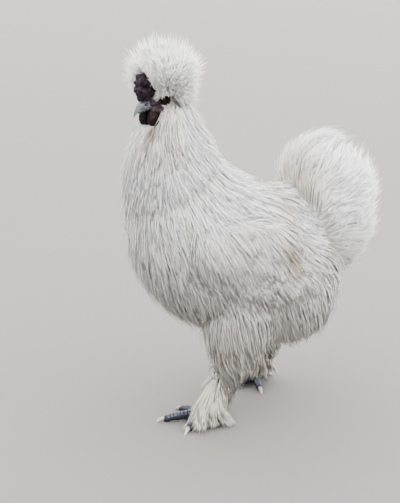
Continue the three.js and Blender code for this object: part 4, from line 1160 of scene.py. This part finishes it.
def makeWattle(side, sign):
    d, faces = directions(56, 44)
    x, y, z = d.T
    fold = 1 - 0.3 * np.exp(-(((x - 0.1 + 0.1 * z) / 0.16) ** 2)) * clamped(0.6 - z)
    wide = 1 - 0.25 * z
    k = 1 + noiseAt(d, 2.4, 11 * sign) * 0.14 + noiseAt(d, 6, 4) * 0.05
    size = np.stack([wattle["size"][0] * wide, wattle["size"][1] * wide * fold, wattle["size"][2] + 0 * x], 1)
    place = np.array(wattle["at"]) * np.array([1, sign, 1]) + d * size * k[:, None]
    # ridge, stored as the crest attribute: painted shade in the fold and painted highlight where the wattle
    # bulges
    ridge = clamped(0.62 + (fold - 1) * 1.5 + (k - 1) * 2)
    # the right wattle, the far one, gets darker flesh than the left: the same flesh painted in shade and lit
    light = (0.012, 0.0022, 0.0032) if side == "left" else (0.004, 0.0012, 0.0016)
    material = fleshMaterial("wattleSkin_" + side, (0.003, 0.0008, 0.0012), light, 0.55, 520, 0.35)
    faces = faces if sign > 0 else faces[:, ::-1]
    makeObject("wattleFlesh_" + side, headPoint(*place.T), faces, material, ["wattle_" + side],
               [("crest", ridge)])


makeWattle("left", 1)
makeWattle("right", -1)

beak = {
    "root": (20, 0, -3.5), "length": 20, "lower": 0.68,
    "ridge": [(0, 7.8), (0.3, 6.8), (0.6, 3.4), (0.85, -2.0), (1, -6.5)],
    "edge": [(0, -1.2), (0.5, -1.8), (0.85, -4.3), (1, -7.3)],
    "under": [(0, -4.6), (0.4, -5), (0.7, -5)],
    "wide": [(0, 6.4), (0.4, 5), (0.8, 2.6), (1, 0.7)],
    "nostril": (25.5, -0.8), "hole": (2.3, 0.95),  # forward and up, on both sides
    "dark": (0.006, 0.008, 0.012), "light": (0.055, 0.07, 0.095), "front": (0.028, 0.032, 0.042),
    # pit: painted shade in the nostril's hollow
    "rim": (0.15, 0.165, 0.11), "pit": (0.01, 0.01, 0.012),
}
horn = hornMaterial("beakHorn", 0.32, "hornColour", 0.12)


def makeBeak(top):
    reach = 1 if top else beak["lower"]
    t = np.linspace(0, 1, 44) ** 0.9 * reach
    arc = np.linspace(0, math.pi, 29)
    wide = curve(beak["wide"], t) * (1 if top else 0.86)
    edge = curve(beak["edge"], t) + (0.12 if top else -0.12)
    far = curve(beak["ridge"] if top else beak["under"], t)
    up = edge[:, None] + (far - edge)[:, None] * np.sin(arc)[None] ** (0.85 if top else 1)
    across = wide[:, None] * np.cos(arc)[None]
    forward = beak["root"][0] + beak["length"] * t
    inner = np.linspace(-1, 1, 9)[1:-1]
    roof = edge[:, None] + (0.3 if top else -0.2) * (far - edge)[:, None] * (1 - inner[None] ** 2)
    across = np.concatenate([across, wide[:, None] * inner[None]], 1)
    up = np.concatenate([up, roof], 1)
    place = np.stack([forward[:, None] + 0 * up, across, beak["root"][2] + up], -1)
    rings = headPoint(*np.moveaxis(place, -1, 0))
    points, faces = loft(rings)
    place = headPlace(points)
    side = np.abs(place[:, 1])
    hole = patchFar(place, beak["nostril"], beak["hole"])
    pit = clamped(1.25 - hole) * (side > 2) if top else 0 * side
    place[:, 1] -= np.sign(place[:, 1]) * clamped(pit) * 1.1
    points = headPoint(*place.T)
    level = np.interp((place[:, 0] - beak["root"][0]) / beak["length"], t, edge) + beak["root"][2]
    toEdge = np.abs(place[:, 2] - level)
    shade = noiseAt(place * np.array([1, 1, 2.5]), 0.35)[:, None]
    colour = mix(beak["dark"], beak["light"], clamped(0.5 + shade * 1.3))
    ahead = clamped((place[:, 0] - 33) / 6)[:, None]
    colour = mix(colour, beak["front"], ahead * 0.75)
    rim = (clamped(1 - toEdge / 0.9) * clamped((side - 0.8) / 1))[:, None]
    colour = mix(colour, beak["rim"], rim * 0.85)
    # painted shade: the nostril pit is darkened
    colour = mix(colour, beak["pit"], clamped(pit * 2)[:, None] if top else 0.0)
    half = "upper" if top else "lower"
    makeObject("beakHorn_" + half, points, faces, horn, ["beak_" + half], [("hornColour", colour)])


makeBeak(True)
makeBeak(False)


def makeEye(side, sign):
    d, faces = directions(48, 36)
    size = np.array(eye["size"]) * np.array([0.99, 1.0, 0.99])
    place = np.array(eye["at"]) * np.array([1, sign, 1]) + d * size
    look = np.array(eye["look"]) * np.array([1, sign, 1]) / np.linalg.norm(eye["look"])
    off = np.degrees(np.arccos(np.clip(d @ look, -1, 1)))
    pupil = clamped((off - 20) / 3)[:, None]
    ring = clamped((off - 38) / 8)[:, None]
    colour = mix(eye["pupil"], eye["iris"], pupil)
    colour = mix(colour, eye["ring"], ring)
    material, tree, shader = newMaterial(
        "eyeball_" + side, 0.3, Specular_IOR_Level=0.02, Coat_Weight=0.06, Coat_Roughness=0.03)
    fibres = noiseOn(tree, 1600, 4, 0.6)
    shade = tinted(tree, fibres.outputs["Fac"], (0.7, 0.7, 0.7), (1.2, 1.2, 1.2), 0.35, 0.65)
    coloured(tree, shader, readAttribute(tree, "eyeColour"), shade)
    faces = faces if sign > 0 else faces[:, ::-1]
    makeObject("eyeball_" + side, headPoint(*place.T), faces, material, ["eye_" + side],
               [("eyeColour", colour)])


makeEye("left", 1)
makeEye("right", -1)
print("head made")

# Scutes and claws
scute = {"count": 9, "spread": 74, "thick": 0.55}
scales = hornMaterial("toeScutes", 0.45, "hornColour", 0.1)


def scutesOf(side, toe):
    path = toePath(side, toe, 60)
    t = np.linspace(0, 1, 60)
    radius = mix(toe["root"], toe["end"], t) * (1 + 0.06 * np.cos(2 * math.pi * 3 * t))
    way = unit(np.gradient(path, axis=0))
    aside = unit(np.cross(way, [0, 0, 1]))
    over = np.cross(aside, way)
    parts = []
    for k in range(scute["count"]):
        mid = (k + 0.75) / (scute["count"] + 0.6)
        half = 0.49 / (scute["count"] + 0.6)
        rows, columns = np.linspace(-1, 1, 6), np.linspace(-1, 1, 11)
        u, v = np.meshgrid(rows, columns, indexing="ij")
        at = clamped(mid + u * half * (1 - 0.25 * v * v))
        angle = np.radians(v * scute["spread"])
        rise = scute["thick"] * (1 - np.abs(u) ** 4) * (1 - np.abs(v) ** 6) + 0.12 * u
        grids = []
        for level in (rise, np.full_like(rise, -0.9)):
            r = np.interp(at, t, radius) + level
            p, s, o = (np.stack([np.interp(at, t, line[:, n]) for n in range(3)], -1)
                       for line in (path, aside, over))
            grids.append(p + s * (r * np.sin(angle))[..., None] + o * (r * np.cos(angle))[..., None])
        shell = np.concatenate([grids[0], grids[1][:, ::-1]], 1)
        parts.append(loft(shell))
    return parts


for side in ("left", "right"):
    points, faces = joined([part for toe in toes for part in scutesOf(side, toe)])
    points[:, 2] = np.maximum(points[:, 2], 0.02)
    shade = clamped(0.5 + noiseAt(points, 0.16)[:, None] * 1.4)
    colour = mix((0.008, 0.01, 0.016), (0.035, 0.042, 0.062), shade)
    makeObject("toeScutes_" + side, points, faces, scales, [], [("hornColour", colour)])

claw = {"length": 10, "root": 2.5}
nail = hornMaterial("clawHorn", 0.35, "hornColour", 0.3)
for side in ("left", "right"):
    for toe in toes:
        path = toePath(side, toe, 6)
        way = unit(path[-1] - path[-2])
        t = np.linspace(-0.12, 1, 20)
        line = path[-1] + way * (claw["length"] * t)[:, None]
        line[:, 2] += 1.2 * np.sin(math.pi * clamped(t)) - (path[-1][2] - 1.4) * clamped(t) ** 2
        radii = claw["root"] * np.sqrt(np.clip(1 - 0.97 * clamped(t) ** 1.3, 0.01, 1))
        points, faces = tube(line, radii, 16, 0.0)
        far = clamped(np.linalg.norm(points - path[-1], axis=1) / claw["length"])[:, None]
        colour = mix((0.1, 0.1, 0.11), (0.4, 0.38, 0.33), far)
        name = side + "_" + toe["name"]
        makeObject("clawHorn_" + name, points, faces, nail, ["claw_" + name],
                   [("hornColour", colour)])
print("feet made")

# Floor, lights and camera
studio = {
    "floor": (0.115, 0.108, 0.099),
    "key": 19, "keyAngle": 150, "keyWay": (-0.3, 0.05, -1), "keyTint": (0.98, 0.985, 1.0),
    "fill": 20, "fillTint": (0.9, 0.95, 1.0),
    "world": 1.75, "worldTint": (1.0, 0.95, 0.9, 1),
}
floorMaterial, tree, shader = newMaterial("paleFloor", 0.85)
grain = noiseOn(tree, 9, 5, 0.6)
darker = tuple(0.97 * v for v in studio["floor"])
tree.links.new(tinted(tree, grain.outputs["Fac"], darker, studio["floor"]), shader.inputs["Base Color"])
bpy.ops.mesh.primitive_plane_add(size=160, location=(0, 0, -0.0002))
floor = bpy.context.object
floor.name = "studioFloor"
floor.data.materials.append(floorMaterial)

view = {"focal": 50, "high": 25.15, "pitch": 14.65, "right": (0.927, -0.375, 0), "back": 996,
        "across": -27, "up": 430}
right = Vector(view["right"]).normalized()
ahead = Vector((-right.y, right.x, 0))
cameraData = bpy.data.cameras.new("camera")
cameraData.sensor_fit = "VERTICAL"
cameraData.sensor_height = view["high"]
cameraData.lens = view["focal"]
cameraData.clip_end = 300
camera = bpy.data.objects.new("camera", cameraData)
bpy.context.scene.collection.objects.link(camera)
spot = -view["back"] * ahead + view["across"] * right + Vector((0, 0, view["up"]))
camera.location = (spot + Vector(shift)) / 1000
pitch = math.radians(view["pitch"])
aim = ahead * math.cos(pitch) - Vector((0, 0, 1)) * math.sin(pitch)
camera.rotation_euler = aim.to_track_quat("-Z", "Y").to_euler()
bpy.context.scene.camera = camera


def softbox(name, place, size, power, tint):
    data = bpy.data.lights.new(name, "AREA")
    data.shape = "RECTANGLE"
    data.size, data.size_y = size
    data.energy = power
    data.color = tint
    light = bpy.data.objects.new(name, data)
    bpy.context.scene.collection.objects.link(light)
    light.location = place
    light.rotation_euler = (Vector((0, 0, 0.2)) - Vector(place)).to_track_quat("-Z", "Y").to_euler()


sunData = bpy.data.lights.new("skyLight", "SUN")
sunData.energy = studio["key"]
sunData.angle = math.radians(studio["keyAngle"])
sunData.color = studio["keyTint"]
sun = bpy.data.objects.new("skyLight", sunData)
bpy.context.scene.collection.objects.link(sun)
sun.rotation_euler = Vector(studio["keyWay"]).to_track_quat("-Z", "Y").to_euler()
softbox("fillLight", (-1.6, -1.4, 1.1), (1.6, 1.6), studio["fill"], studio["fillTint"])
world = bpy.data.worlds.new("studio")
bpy.context.scene.world = world
world.use_nodes = True
background = world.node_tree.nodes["Background"]
background.inputs["Color"].default_value = studio["worldTint"]
background.inputs["Strength"].default_value = studio["world"]
print("studio made")
